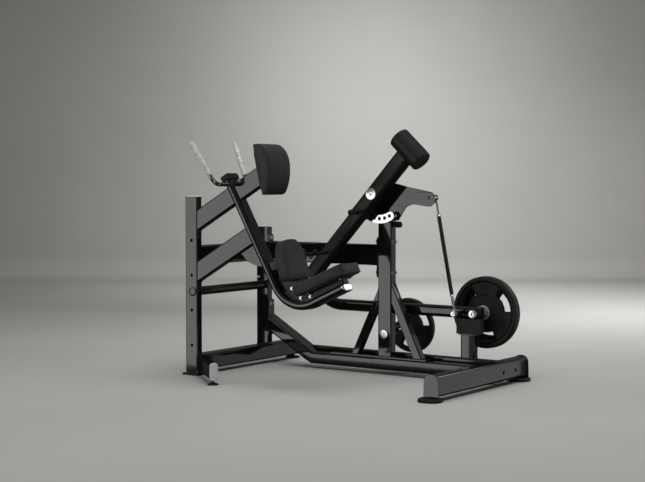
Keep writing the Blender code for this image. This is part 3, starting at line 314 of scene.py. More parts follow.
def vinyl(name, base=(0.029, 0.0295, 0.0282), rough=0.50):
    """Matte upholstery vinyl: a pebbled grain of about 1.5 mm, soft creases, slightly worn sheen."""
    made = Finish(name, base, rough, IOR=1.48, Sheen_Weight=0.06, Sheen_Roughness=0.5)
    grain = made.cells(620.0, "SMOOTH_F1")
    made.colour(
        made.plus(made.ranged(made.noise(11.0, 4.0, 0.6), 0.0, 1.0, 0.0, 0.6), made.ranged(grain, 0.0, 0.6, 0.0, 0.4)),
        *shades(base, (0.2, 0.82), (0.75, 1.2)),
    )
    made.roughness(made.noise(26.0, 4.0, 0.6), 0.3, 0.75, rough * 0.86, rough * 1.18)
    made.bump(made.noise(38.0, 3.0, 0.5, distortion=0.4), 0.0022, 0.08)
    made.bump(grain, 0.0007, 0.32)
    made.bump(made.noise(2400.0, 2.0), 0.0002, 0.15)
    return made.material


def moulded_rubber(name, base=(0.016, 0.016, 0.016), rough=0.58):
    """Moulded rubber: even matte skin with a fine stipple and paler scuffs."""
    made = Finish(name, base, rough, IOR=1.5)
    scuff = made.noise(55.0, 6.0, 0.7)
    made.colour(scuff, *shades(base, (0.3, 0.85), (0.62, 1.05), (0.8, 1.5)))
    made.roughness(scuff, 0.3, 0.75, rough * 0.85, rough * 1.2)
    made.bump(made.noise(1100.0, 2.0, 0.5), 0.0003, 0.25)
    made.bump(made.noise(70.0, 3.0, 0.5), 0.0012, 0.06)
    return made.material


def cast_coat(name, base=(0.0175, 0.0175, 0.0175), rough=0.50):
    """Coated casting: hammered low waves under a satin skin."""
    made = Finish(name, base, rough, IOR=1.5, Coat_Weight=0.15, Coat_Roughness=0.3)
    pits = made.noise(150.0, 4.0, 0.6)
    made.colour(made.noise(22.0, 5.0, 0.6), *shades(base, (0.25, 0.78), (0.75, 1.25)))
    made.roughness(pits, 0.3, 0.75, rough * 0.8, rough * 1.25)
    made.bump(pits, 0.0009, 0.13)
    made.bump(made.noise(800.0, 2.0, 0.5), 0.0003, 0.18)
    return made.material


def cell_foam(name, base=(0.014, 0.014, 0.0145), rough=0.78):
    """Closed-cell foam rubber: burst cells of about 1 mm in a dull skin."""
    made = Finish(name, base, rough, IOR=1.45)
    cell = made.cells(900.0, "F1")
    made.colour(cell, *shades(base, (0.05, 0.6), (0.35, 1.25)))
    made.roughness(made.noise(90.0, 3.0), 0.3, 0.7, rough * 0.9, min(1.0, rough * 1.15))
    made.bump(cell, 0.0006, 0.5)
    made.bump(made.noise(45.0, 3.0), 0.003, 0.10)
    return made.material


def painted_ply(name, base=(0.012, 0.012, 0.012), rough=0.42):
    """Black-painted plywood: a brushed coat that lets the long grain through."""
    made = Finish(name, base, rough, IOR=1.5)
    grain = made.noise(1.0, 5.0, 0.6, made.stretched((30.0, 260.0, 30.0)))
    made.colour(grain, *shades(base, (0.3, 0.75), (0.7, 1.3)))
    made.roughness(grain, 0.3, 0.7, rough * 0.85, rough * 1.25)
    made.bump(grain, 0.0005, 0.22)
    return made.material


BLACK = powder("gloss_black_powder_coat")
WELD_BLACK = powder("powder_coat_over_weld", rough=0.24, coat=0.4)
ARM_BLACK = drawn_satin("satin_black_arm_coat")
CHROME = chrome_plate("polished_chrome")
# painted reflection: the chrome grips get a pale, mostly diffuse colour (metallic 0.30) that paints in the bright look
# of their reflections
GRIP_PAINTED_REFLECTION = satin_plate("knurled_chrome_painted_reflection", (0.94, 0.94, 0.93), 0.24, (50.0, 50.0, 50.0), 0.30)
STEEL = satin_plate("satin_plated_steel")
ZINC = satin_plate("plated_fastener", (0.55, 0.55, 0.54), 0.24, (500.0, 500.0, 500.0))
# painted reflection: the brushed metal caps get a pale, partly diffuse colour (metallic 0.4) that paints in the bright
# look of their reflections
BRUSHED_CAP_PAINTED_REFLECTION = satin_plate("brushed_cap_painted_reflection", (0.93, 0.93, 0.92), 0.30, (60.0, 400.0, 60.0), 0.4)
# painted reflection: the steel column cap is given a pale matte white with little specular, standing in for the wall
# light it reflects
end_cap_reflection = Finish("end_cap_painted_reflection", (0.92, 0.92, 0.91), 0.6, Specular_IOR_Level=0.12)
end_cap_reflection.colour(end_cap_reflection.noise(30.0, 3.0), *shades((0.92, 0.92, 0.91), (0.3, 0.95), (0.7, 1.02)))
end_cap_reflection.bump(end_cap_reflection.noise(300.0, 2.0), 0.0001, 0.1)
END_CAP_PAINTED_REFLECTION = end_cap_reflection.material
# painted reflection: the chrome caps get a pale, partly diffuse colour (metallic 0.80) that paints in an even bright
# reflection
ROUND_CAP_PAINTED_REFLECTION = satin_plate("round_cap_painted_reflection", (0.93, 0.93, 0.92), 0.13, (90.0, 90.0, 90.0), 0.80)
RUBBER = moulded_rubber("moulded_black_rubber")
LEATHER = vinyl("matte_black_vinyl")
COATED = cast_coat("coated_casting")
FOAM = cell_foam("closed_cell_foam")
PLY = painted_ply("painted_plywood")
BLOCK = moulded_rubber("grey_black_bearing_block", (0.034, 0.034, 0.033), 0.55)
THREAD = moulded_rubber("seam_thread", (0.020, 0.020, 0.020), 0.7)
CUTTER = BLACK

SLOT_MATERIALS = {}
node_slot = {}
for row in frame["record"]["subparts"]:
    node_slot[row["node"]] = row["material_slot"]
node_body = {}
for body, members in frame["record"]["behaviour"]["bodies"].items():
    for member in members:
        node_body[member] = body
BUILT = {}


# ---------------------------------------------------------------- helpers
def at(x, y, z):
    """A layout point, moved to the part's origin."""
    return Vector((x - ORIGIN_X, y - ORIGIN_Y, z))


def new_object(name, bm, finish, sharp=35.0):
    bmesh.ops.remove_doubles(bm, verts=bm.verts, dist=1e-6)
    bmesh.ops.recalc_face_normals(bm, faces=bm.faces)
    mesh = bpy.data.meshes.new(name)
    bm.to_mesh(mesh)
    bm.free()
    mesh.materials.append(finish)
    mesh.shade_smooth()
    mesh.set_sharp_from_angle(angle=math.radians(sharp))
    obj = bpy.data.objects.new(name if name == "tool" else name + "_finished", mesh)
    scene.collection.objects.link(obj)
    if name != "tool":
        BUILT[name] = obj
    return obj


def combine(target, other, operation="UNION"):
    """Joins other into target, or cuts it out, and removes other."""
    modifier = target.modifiers.new("combine", "BOOLEAN")
    modifier.operation = operation
    modifier.solver = "EXACT"
    modifier.object = other
    bpy.context.view_layer.update()
    graph = bpy.context.evaluated_depsgraph_get()
    mesh = bpy.data.meshes.new_from_object(target.evaluated_get(graph))
    target.modifiers.clear()
    target.data = mesh
    while len(mesh.materials) > 1:
        mesh.materials.pop()
    for polygon in mesh.polygons:
        polygon.material_index = 0
    bpy.data.objects.remove(other)
    mesh.shade_smooth()
    mesh.set_sharp_from_angle(angle=math.radians(35))
    return target


def rect_profile(wide, tall, radius=CORNER, steps=3):
    """Rounded rectangle as (a, b) points, a along its width."""
    steps = max(6, steps * 2)
    points = []
    for sx, sy, start in ((1, 1, 0), (-1, 1, 90), (-1, -1, 180), (1, -1, 270)):
        for i in range(steps + 1):
            angle = math.radians(start + 90 * i / steps)
            points.append(
                (
                    sx * (wide / 2 - radius) + radius * math.cos(angle),
                    sy * (tall / 2 - radius) + radius * math.sin(angle),
                )
            )
    return points


def circle_profile(radius, count=24):
    count = max(48, count)
    return [(radius * math.cos(2 * math.pi * i / count), radius * math.sin(2 * math.pi * i / count)) for i in range(count)]


def filleted(points, radii, steps=8):
    """A polyline whose inner corners are rounded to the given radii; a radius of 0 stays a mitre."""
    steps = steps * 3
    result = [points[0]]
    for i in range(1, len(points) - 1):
        radius = radii[i - 1]
        a = (points[i - 1] - points[i]).normalized()
        b = (points[i + 1] - points[i]).normalized()
        if radius <= 0:
            result.append(points[i])
            continue
        half = a.angle(b) / 2
        reach = radius / math.tan(half)
        centre = points[i] + (a + b).normalized() * (radius / math.sin(half))
        first = points[i] + a * reach - centre
        last = points[i] + b * reach - centre
        turn = first.angle(last)
        axis = first.cross(last).normalized()
        for k in range(steps + 1):
            result.append(centre + Matrix.Rotation(turn * k / steps, 3, axis) @ first)
    result.append(points[-1])
    return result


def sweep(name, path, profile, binormal, finish, wall=0.0, start=None, end=None, blind_end=False):
    """Profile carried along a path that lies in one plane; binormal is that plane's normal.

    The profile's a runs along binormal. start and end are optional cutting planes (point, normal).
    wall makes a hollow tube, open at both ends, or closed at its last end with blind_end.
    """
    binormal = Vector(binormal).normalized()
    bm = bmesh.new()
    inner_profile = None
    if wall > 0:
        a_half = max(p[0] for p in profile)
        b_half = max(p[1] for p in profile)
        inner_profile = [(p[0] * (a_half - wall) / a_half, p[1] * (b_half - wall) / b_half) for p in profile]

    def loops(points, shift_last=0.0):
        rings = []
        last = len(path) - 1
        for i, point in enumerate(path):
            before = (path[i] - path[i - 1]).normalized() if i else None
            after = (path[i + 1] - path[i]).normalized() if i < last else None
            tangent = ((before or after) + (after or before)).normalized()
            normal = binormal.cross(tangent).normalized()
            stretch = 1.0
            if before is not None and after is not None:
                stretch = 1.0 / max(0.2, tangent.dot(after))
            ring = []
            for a, b in points:
                place = point + binormal * a + normal * (b * stretch)
                plane = start if i == 0 else end if i == last else None
                if plane is not None:
                    place = place + tangent * ((Vector(plane[0]) - place).dot(Vector(plane[1])) / tangent.dot(Vector(plane[1])))
                if i == last and shift_last:
                    place = place - tangent * shift_last
                ring.append(bm.verts.new(place))
            rings.append(ring)
        return rings

    outer = loops(profile)
    count = len(profile)

    def skin(rings):
        for first, second in zip(rings, rings[1:]):
            for k in range(count):
                bm.faces.new((first[k], first[(k + 1) % count], second[(k + 1) % count], second[k]))

    skin(outer)
    if inner_profile is None:
        bm.faces.new(outer[0])
        bm.faces.new(outer[-1])
    else:
        inner = loops(inner_profile, wall if blind_end else 0.0)
        skin(inner)
        for k in range(count):
            bm.faces.new((outer[0][k], outer[0][(k + 1) % count], inner[0][(k + 1) % count], inner[0][k]))
        if blind_end:
            bm.faces.new(outer[-1])
            bm.faces.new(inner[-1])
        else:
            for k in range(count):
                bm.faces.new((outer[-1][k], outer[-1][(k + 1) % count], inner[-1][(k + 1) % count], inner[-1][k]))
    return new_object(name, bm, finish)


def straight(name, a, b, profile, binormal, finish, **more):
    return sweep(name, [a, b], profile, binormal, finish, **more)


def slab(name, outline, origin, u_axis, v_axis, thickness, finish, holes=(), hole_sides=12):
    """A flat plate: outline in (u, v), extruded by thickness along u x v, with round holes."""
    hole_sides = max(40, hole_sides)
    u_axis = Vector(u_axis).normalized()
    v_axis = Vector(v_axis).normalized()
    w_axis = u_axis.cross(v_axis).normalized()
    rings = [list(outline)]
    for cx, cy, radius in holes:
        rings.append(
            [
                (cx + radius * math.cos(2 * math.pi * i / hole_sides), cy + radius * math.sin(2 * math.pi * i / hole_sides))
                for i in range(hole_sides)
            ]
        )
    triangles = tessellate_polygon([[Vector((p[0], p[1], 0)) for p in ring] for ring in rings])
    bm = bmesh.new()
    flat = [p for ring in rings for p in ring]
    low = [bm.verts.new(origin + u_axis * p[0] + v_axis * p[1]) for p in flat]
    high = [bm.verts.new(origin + u_axis * p[0] + v_axis * p[1] + w_axis * thickness) for p in flat]
    for a, b, c in triangles:
        bm.faces.new((low[a], low[b], low[c]))
        bm.faces.new((high[c], high[b], high[a]))
    offset = 0
    for ring in rings:
        size = len(ring)
        for k in range(size):
            i, j = offset + k, offset + (k + 1) % size
            bm.faces.new((low[i], low[j], high[j], high[i]))
        offset += size
    return new_object(name, bm, finish)


def hexed(angle):
    """How far a hexagon of unit apothem reaches at an angle."""
    return 1.0 / math.cos((angle % (math.pi / 3)) - math.pi / 6)


def turned_into(bm, profile, origin, axis, count=96, phase=0.0):
    """A solid of revolution. profile is (radius, distance along axis), from one end to the other.

    A third value of 1 makes that ring a hexagon with the radius as its apothem. A profile that
    starts and ends at radius 0 is solid; otherwise it is a closed ring section.
    """
    axis = Vector(axis).normalized()
    side = axis.orthogonal().normalized()
    other = axis.cross(side)
    count = max(12, 6 * round(count / 6))
    rings = []
    for item in profile:
        radius, along = item[0], item[1]
        six = len(item) > 2 and item[2]
        centre = origin + axis * along
        if radius <= 1e-9:
            rings.append([bm.verts.new(centre)])
            continue
        ring = []
        for i in range(count):
            angle = 2 * math.pi * i / count
            reach = radius * hexed(angle) if six else radius
            turn = angle + phase
            ring.append(bm.verts.new(centre + side * (reach * math.cos(turn)) + other * (reach * math.sin(turn))))
        rings.append(ring)
    pairs = list(zip(rings, rings[1:]))
    if profile[0][0] > 1e-9:
        pairs.append((rings[-1], rings[0]))
    for first, second in pairs:
        for k in range(count):
            m = (k + 1) % count
            if len(first) == 1 and len(second) == 1:
                continue
            if len(first) == 1:
                bm.faces.new((first[0], second[m], second[k]))
            elif len(second) == 1:
                bm.faces.new((first[k], first[m], second[0]))
            else:
                bm.faces.new((first[k], first[m], second[m], second[k]))


def turned(name, profile, origin, axis, finish, count=32, phase=0.0, sharp=35.0):
    bm = bmesh.new()
    turned_into(bm, profile, origin, axis, max(72, count * 3), phase)
    return new_object(name, bm, finish, sharp)


def eased(profile, sizes, steps=5):
    """A turned profile whose corners are rounded off to the given sizes."""
    points = [Vector((p[0], p[1])) for p in profile]
    result = [tuple(points[0])]
    for i in range(1, len(points) - 1):
        size = sizes[i - 1] if not isinstance(sizes, (int, float)) else sizes
        here = points[i]
        before, after = points[i - 1] - here, points[i + 1] - here
        reach = min(size, before.length * 0.48, after.length * 0.48)
        if reach <= 1e-6:
            result.append(tuple(here))
            continue
        a, b = here + before.normalized() * reach, here + after.normalized() * reach
        for k in range(steps + 1):
            t = k / steps
            spot = a * (1 - t) ** 2 + here * (2 * t * (1 - t)) + b * t**2
            result.append((spot.x, spot.y))
    result.append(tuple(points[-1]))
    return result


def rod(radius, origin, axis, length, count=24):
    """A plain cylinder, used to join to or cut from another piece."""
    return turned("tool", [(0, 0), (radius, 0), (radius, length), (0, length)], origin, axis, CUTTER, count)


def block(name, low, high, finish, radius=0.0):
    """An upright box between two layout corners, with its vertical edges rounded."""
    wide, deep, tall = (high[i] - low[i] for i in range(3))
    outline = (
        rect_profile(wide, deep, radius, 2)
        if radius
        else [(-wide / 2, -deep / 2), (wide / 2, -deep / 2), (wide / 2, deep / 2), (-wide / 2, deep / 2)]
    )
    centre = at((low[0] + high[0]) / 2, (low[1] + high[1]) / 2, low[2])
    return slab(name, outline, centre, (1, 0, 0), (0, 1, 0), tall, finish)


def xz_slab(name, outline, y_low, y_high, finish, holes=(), hole_sides=12):
    """A plate whose outline is in layout (X, Z), between two Y planes."""
    origin = at(0, y_high, 0)
    return slab(name, outline, origin, (1, 0, 0), (0, 0, 1), y_high - y_low, finish, holes, hole_sides)


def rounded_outline(corners, radii, steps=5):
    """A closed outline whose corners are rounded."""
    steps = steps * 2
    points = []
    count = len(corners)
    for i in range(count):
        here = Vector(corners[i]).to_2d()
        before = Vector(corners[i - 1]).to_2d()
        after = Vector(corners[(i + 1) % count]).to_2d()
        radius = radii[i]
        if radius <= 0:
            points.append((here.x, here.y))
            continue
        a = (before - here).normalized()
        b = (after - here).normalized()
        half = math.acos(max(-1, min(1, a.dot(b)))) / 2
        reach = radius / math.tan(half)
        centre = here + (a + b).normalized() * (radius / math.sin(half))
        p = here + a * reach - centre
        q = here + b * reach - centre
        begin = math.atan2(p.y, p.x)
        turn = math.atan2(q.y, q.x) - begin
        while turn > math.pi:
            turn -= 2 * math.pi
        while turn < -math.pi:
            turn += 2 * math.pi
        for k in range(steps + 1):
            angle = begin + turn * k / steps
            points.append((centre.x + radius * math.cos(angle), centre.y + radius * math.sin(angle)))
    return points


Y_AXIS = (0, 1, 0)
X_AXIS = (1, 0, 0)
Z_AXIS = (0, 0, 1)
frame_rect = rect_profile(TUBE_LONG, TUBE_SHORT)

# ---------------------------------------------------------------- user-side column
near_column = straight(
    "near_column",
    at(COLUMN_X, USER_Y, 0.006),
    at(COLUMN_X, USER_Y, NEAR_COLUMN_TOP - GAP),
    frame_rect,
    X_AXIS,
    BLACK,
    wall=WALL,
)
for height in (0.870, 0.645, 0.420, 0.194):
    combine(near_column, rod(0.0098, at(COLUMN_X + 0.004, USER_Y - 0.035, height), Y_AXIS, 0.025, 12), "DIFFERENCE")
near_column_cap = slab(
    "near_column_cap",
    rect_profile(TUBE_LONG, TUBE_SHORT),
    at(COLUMN_X, USER_Y, NEAR_COLUMN_TOP),
    X_AXIS,
    Y_AXIS,
    0.006,
    STEEL,
)
combine(near_column, block("tool", (-1.000, -0.404, 0.0), (-0.866, -0.324, 0.012), BLACK, 0.006))

# ---------------------------------------------------------------- front cross beam and far column
front_beam = straight(
    "front_beam",
    at(COLUMN_X, USER_Y + TUBE_SHORT / 2 + GAP, sum(FRONT_BEAM_Z) / 2),
    at(COLUMN_X, FRONT_BEAM_END_Y, sum(FRONT_BEAM_Z) / 2),
    rect_profile(TUBE_LONG, FRONT_BEAM_Z[1] - FRONT_BEAM_Z[0], 0.012),
    X_AXIS,
    BLACK,
    wall=WALL,
    blind_end=True,
)
front_beam_foot = turned(
    "front_beam_foot",
    eased(
        [(0, 0), (0.0475, 0), (0.0500, 0.0035), (0.0496, 0.0068), (0.0480, 0.0078), (0.0480, 0.0092), (0.0455, 0.0130),
         (0.0160, 0.0165), (0.0140, 0.0190), (0.0140, FRONT_BEAM_Z[0] - GAP), (0, FRONT_BEAM_Z[0] - GAP)],
        0.0012,
        3,
    ),
    at(COLUMN_X, 0.700, 0),
    Z_AXIS,
    RUBBER,
    24,
)
far_column = straight(
    "far_column",
    at(COLUMN_X, SPINE_Y, FRONT_BEAM_Z[1] + GAP),
    at(COLUMN_X, SPINE_Y, FAR_COLUMN_TOP),
    frame_rect,
    X_AXIS,
    BLACK,
    wall=WALL,
    blind_end=True,
)
cross_start = USER_Y + TUBE_SHORT / 2 + GAP
cross_end = SPINE_Y - TUBE_SHORT / 2 - GAP
upper_cross_beam = straight(
    "upper_cross_beam",
    at(COLUMN_X, cross_start, 0.7725),
    at(COLUMN_X, cross_end, 0.7725),
    rect_profile(0.060, 0.125),
    X_AXIS,
    BLACK,
    wall=WALL,
)
mid_cross_tube = straight(
    "mid_cross_tube",
    at(COLUMN_X, cross_start, 0.540),
    at(COLUMN_X, cross_end, 0.540),
    circle_profile(0.0285, 20),
    X_AXIS,
    BLACK,
    wall=WALL,
)

# ---------------------------------------------------------------- J-shaped seat tube
j_dir = Vector((J_CORNER[0] - J_TOP[0], 0, J_CORNER[1] - J_TOP[1])).normalized()
j_out = Vector((j_dir.z, 0, -j_dir.x))  # away from the pads
if j_out.x > 0:
    j_out = -j_out
j_path = filleted(
    [at(J_TOP[0], J_Y, J_TOP[1]), at(J_CORNER[0], J_Y, J_CORNER[1]), at(J_END[0], J_Y, J_END[1])], [J_RADIUS], 12
)
j_tube = sweep("j_tube", j_path, rect_profile(J_WIDTH, J_DEPTH, 0.022, 4), Y_AXIS, BLACK, wall=WALL)
GRIP_AT = 0.024  # the handlebar crosses the tube this far below its top
handle_mid = at(J_TOP[0], J_Y, J_TOP[1]) + j_dir * GRIP_AT
combine(j_tube, rod(0.0138, handle_mid - Vector((0, 0.08, 0)), Y_AXIS, 0.16, 20), "DIFFERENCE")
cap_side = -j_out
j_tube_top_cap = slab(
    "j_tube_top_cap",
    rect_profile(0.112, 0.066, 0.012, 2),
    at(J_TOP[0], J_Y, J_TOP[1]) - j_dir * GAP,
    Y_AXIS,
    cap_side,
    -0.040 if Vector(Y_AXIS).cross(cap_side).dot(j_dir) > 0 else 0.040,
    RUBBER,
)
j_low_dir = Vector((J_END[0] - J_CORNER[0], 0, J_END[1] - J_CORNER[1])).normalized()
def domed_cap(name, base, direction, binormal, wide, tall, corner, rings, finish):
    """A cap whose outline draws in ring by ring: rings are (distance along, inset)."""
    binormal = Vector(binormal).normalized()
    normal = binormal.cross(direction).normalized()
    bm = bmesh.new()
    loops = []
    for along, inset in rings:
        points = rect_profile(wide - 2 * inset, tall - 2 * inset, max(0.0008, corner - inset), 5)
        loops.append([bm.verts.new(base + direction * along + binormal * a + normal * b) for a, b in points])
    for first, second in zip(loops, loops[1:]):
        for k in range(len(first)):
            m = (k + 1) % len(first)
            bm.faces.new((first[k], first[m], second[m], second[k]))
    bm.faces.new(loops[0])
    bm.faces.new(loops[-1])
    return new_object(name, bm, finish)


dome = [(GAP, 0.0), (0.0045, 0.0)]
for i in range(1, 9):
    turn = math.radians(90 * i / 8)
    dome.append((0.0045 + 0.0075 * math.sin(turn), 0.0095 * (1 - math.cos(turn))))
j_tube_end_cap = domed_cap(
    "j_tube_end_cap", at(J_END[0], J_Y, J_END[1]), j_low_dir, Y_AXIS, J_WIDTH, J_DEPTH, 0.022, dome, CHROME
)

# ---------------------------------------------------------------- struts from the column to the seat tube
def strut(name, z_start, angle, finish=BLACK, beyond=None):
    """A strut in the user plane; beyond is the far cutting plane of the piece that goes on past the seat tube."""
    direction = Vector((math.cos(angle), 0, math.sin(angle)))
    base = at(COLUMN_X + TUBE_LONG / 2, USER_Y, z_start)
    outer_face = (at(J_TOP[0], USER_Y, J_TOP[1]) + j_out * (J_DEPTH / 2 + GAP), j_out)
    inner_face = (at(J_TOP[0], USER_Y, J_TOP[1]) - j_out * (J_DEPTH / 2 + GAP), j_out)
    section = rect_profile(TUBE_SHORT, STRUT_DEPTH, 0.010)
    if beyond is None:
        return straight(
            name,
            base,
            base + direction * 0.3,
            section,
            Y_AXIS,
            finish,
            wall=WALL,
            start=(at(COLUMN_X + TUBE_LONG / 2 + GAP, USER_Y, 0), X_AXIS),
            end=outer_face,
        )
    return straight(name, base, base + direction * 0.6, section, Y_AXIS, finish, wall=WALL, start=inner_face, end=beyond)


upper_strut = strut("upper_strut", UPPER_STRUT_Z, UPPER_STRUT_ANGLE)
lower_strut = strut("lower_strut", LOWER_STRUT_Z, LOWER_STRUT_ANGLE)

# chest pad: its back is a plane that leans with its top towards the user column
CHEST_LEAN = math.radians(13.3)
CHEST_BACK = (-0.3285, 1.320)
CHEST_Y = -0.362
CHEST_WIDTH = 0.216
chest_up = Vector((-math.sin(CHEST_LEAN), 0, math.cos(CHEST_LEAN)))
chest_out = Vector((math.cos(CHEST_LEAN), 0, math.sin(CHEST_LEAN)))
BOARD_T = 0.012
board_back = at(CHEST_BACK[0], USER_Y, CHEST_BACK[1]) - chest_out * (BOARD_T + 2 * GAP)
chest_pad_post = strut("chest_pad_post", UPPER_STRUT_Z, UPPER_STRUT_ANGLE, BLACK, (board_back, chest_out))
chest_board = slab(
    "chest_pad_board",
    rect_profile(0.190, 0.250, 0.02, 3),
    at(CHEST_BACK[0], CHEST_Y, CHEST_BACK[1]) - chest_out * (BOARD_T + GAP),
    Y_AXIS,
    chest_up,
    BOARD_T,
    BLACK,
)
CHEST_HIGH = 0.164
CHEST_LOW = -0.160
CHEST_PEAK = 0.030
CHEST_T = 0.107


def chest_profile():
    """Side view of the pad as (height along its back, thickness): round at the top, thin at the foot."""
    points = [(CHEST_LOW, 0.0), (CHEST_HIGH, 0.0)]
    steps = 48
    for i in range(steps + 1):
        height = CHEST_HIGH + (CHEST_LOW - CHEST_HIGH) * i / steps
        if height > CHEST_PEAK:
            across = 1 - ((height - CHEST_PEAK) / 0.138) ** 2.2
            points.append((height, CHEST_T * across**0.5))
        else:
            across = 1 - ((CHEST_PEAK - height) / 0.205) ** 1.8
            points.append((height, CHEST_T * across**0.75))
    return points


chest_pad = slab(
    "chest_pad",
    [(p[1], p[0]) for p in chest_profile()],
    at(CHEST_BACK[0], CHEST_Y + CHEST_WIDTH / 2, CHEST_BACK[1]),
    chest_out,
    chest_up,
    CHEST_WIDTH,
    LEATHER,
)
gusset = xz_slab(
    "tool",
    [(-0.560, 0.802), (-0.528, 0.790), (-0.500, 0.762), (-0.475, 0.745), (-0.440, 0.731), (-0.404, 0.723), (-0.3495, 0.7205), (-0.440, 0.876)],
    USER_Y - 0.004,
    USER_Y + 0.004,
    BLACK,
)
combine(
    gusset,
    straight(
        "tool",
        at(J_TOP[0], USER_Y, J_TOP[1]) + j_out * (J_DEPTH / 2 + GAP - 0.1),
        at(J_TOP[0], USER_Y, J_TOP[1]) + j_out * (J_DEPTH / 2 + GAP),
        rect_profile(0.2, 2.4),
        Y_AXIS,
        BLACK,
    ),
    "DIFFERENCE",
)
combine(lower_strut, gusset)

# ---------------------------------------------------------------- handlebar
grip_rise = Vector((-0.150, 0, 0.262))
h_low_a = handle_mid + Vector((0, -0.172, 0))
h_low_b = handle_mid + Vector((0, 0.150, 0))
h_tip_a = h_low_a + grip_rise + Vector((0, -0.056, 0))
h_tip_b = h_low_b + grip_rise + Vector((0, 0.056, 0))
handle_normal = Vector(Y_AXIS).cross(grip_rise).normalized()
handlebar = sweep(
    "handlebar",
    filleted([h_tip_a, h_low_a, h_low_b, h_tip_b], [0.055, 0.055], 6),
    circle_profile(0.0135, 14),
    handle_normal,
    CHROME,
)

# ---------------------------------------------------------------- thigh pad and its bracket
THIGH_LEAN = math.radians(16.8)
THIGH_FACE = (-0.112, 0.776)
THIGH_T = 0.072
THIGH_W = 0.240
THIGH_LOW, THIGH_HIGH = -0.126, 0.134
thigh_up = Vector((-math.sin(THIGH_LEAN), 0, math.cos(THIGH_LEAN)))
thigh_out = Vector((math.cos(THIGH_LEAN), 0, math.sin(THIGH_LEAN)))
half = THIGH_W / 2
thigh_outline = rounded_outline(
    [(-half, THIGH_LOW), (half, THIGH_LOW), (half * 0.96, 0.045), (half * 0.55, THIGH_HIGH), (-half * 0.55, THIGH_HIGH), (-half * 0.96, 0.045)],
    [0.022, 0.022, 0.09, 0.07, 0.07, 0.09],
    4,
)
thigh_back = at(THIGH_FACE[0], J_Y, THIGH_FACE[1]) - thigh_out * THIGH_T
thigh_pad = slab("thigh_pad", thigh_outline, thigh_back, Y_AXIS, thigh_up, THIGH_T, LEATHER)
thigh_bracket = slab(
    "thigh_pad_bracket",
    rect_profile(0.160, 0.170, 0.02, 3),
    thigh_back - thigh_out * (0.010 + GAP),
    Y_AXIS,
    thigh_up,
    0.010,
    BLACK,
)
thigh_post = straight(
    "tool",
    thigh_back - thigh_out * 0.2,
    thigh_back - thigh_out * 0.005,
    rect_profile(0.060, 0.060),
    Y_AXIS,
    BLACK,
    start=(at(J_TOP[0], J_Y, J_TOP[1]) - j_out * (J_DEPTH / 2 + GAP), j_out),
)
combine(thigh_bracket, thigh_post)

# ---------------------------------------------------------------- knee pad and its bracket
KNEE_ANGLE = math.radians(23.0)
KNEE_A = (-0.070, 0.585)
KNEE_LENGTH = 0.402
KNEE_T = 0.066
KNEE_Y = (-0.465, -0.255)
knee_dir = Vector((math.cos(KNEE_ANGLE), 0, math.sin(KNEE_ANGLE)))
knee_up = Vector((-math.sin(KNEE_ANGLE), 0, math.cos(KNEE_ANGLE)))
knee_mid = at(KNEE_A[0], sum(KNEE_Y) / 2, KNEE_A[1]) + knee_dir * (KNEE_LENGTH / 2)
knee_pad = slab(
    "knee_pad",
    rect_profile(KNEE_LENGTH, KNEE_Y[1] - KNEE_Y[0], 0.028, 4),
    knee_mid - knee_up * (KNEE_T / 2),
    knee_dir,
    Y_AXIS,
    -KNEE_T if knee_dir.cross(Vector(Y_AXIS)).dot(knee_up) < 0 else KNEE_T,
    LEATHER,
)
knee_bracket = slab(
    "knee_pad_bracket",
    rect_profile(0.300, 0.150, 0.015, 2),
    knee_mid - knee_up * (KNEE_T / 2 + 0.008 + GAP),
    knee_dir,
    Y_AXIS,
    0.008,
    BLACK,
)
j_low_out = Vector((-j_low_dir.z, 0, j_low_dir.x))
for reach, size in ((0.012, 0.236),):
    foot = knee_mid + knee_dir * reach - knee_up * (KNEE_T / 2 + 0.004)
    foot.y = J_Y - ORIGIN_Y
    leg = straight(
        "tool",
        foot,
        foot - knee_up * 0.2,
        rect_profile(0.060, size),
        Y_AXIS,
        BLACK,
        end=(at(J_END[0], J_Y, J_END[1]) + j_low_out * (J_DEPTH / 2 + GAP), j_low_out),
    )
    combine(knee_bracket, leg)

# ---------------------------------------------------------------- outrigger leg
LEG_ANGLE = math.radians(-39.3)
LEG_LENGTH = 0.470
LEG_Z = 0.084
leg_dir = Vector((math.cos(LEG_ANGLE), math.sin(LEG_ANGLE), 0))
leg_side = Vector((-leg_dir.y, leg_dir.x, 0))
leg_base = at(COLUMN_X + TUBE_LONG / 2, USER_Y, LEG_Z)
leg_end = leg_base + leg_dir * LEG_LENGTH
outrigger_leg = straight(
    "outrigger_leg",
    leg_base,
    leg_end,
    rect_profile(0.050, 0.108, 0.020, 4),
    leg_side,
    BLACK,
    wall=WALL,
    start=(at(COLUMN_X + TUBE_LONG / 2 + GAP, USER_Y, 0), X_AXIS),
)
dome = [(GAP, 0.0), (0.0105, 0.0)]
for i in range(1, 8):
    turn = math.radians(90 * i / 7)
    dome.append((0.0105 + 0.0055 * math.sin(turn), 0.0055 * (1 - math.cos(turn))))
# the cap's pale finish is painted reflection
outrigger_cap = domed_cap("outrigger_cap", leg_end, leg_dir, leg_side, 0.052, 0.110, 0.021, dome, BRUSHED_CAP_PAINTED_REFLECTION)
levelling_foot = turned(
    "levelling_foot",
    eased(
        [(0, 0), (0.0325, 0), (0.0340, 0.0016), (0.0340, 0.0058), (0.0312, 0.0084), (0.0300, 0.0084), (0.0285, 0.0096),
         (0.0150, 0.0128), (0.0128, 0.0150), (0.0100, 0.0152), (0.0100, 0.0297), (0, 0.0297)],
        0.0010,
    ),
    at(-0.535, -0.648, 0),
    Z_AXIS,
    BLACK,
    32,
)

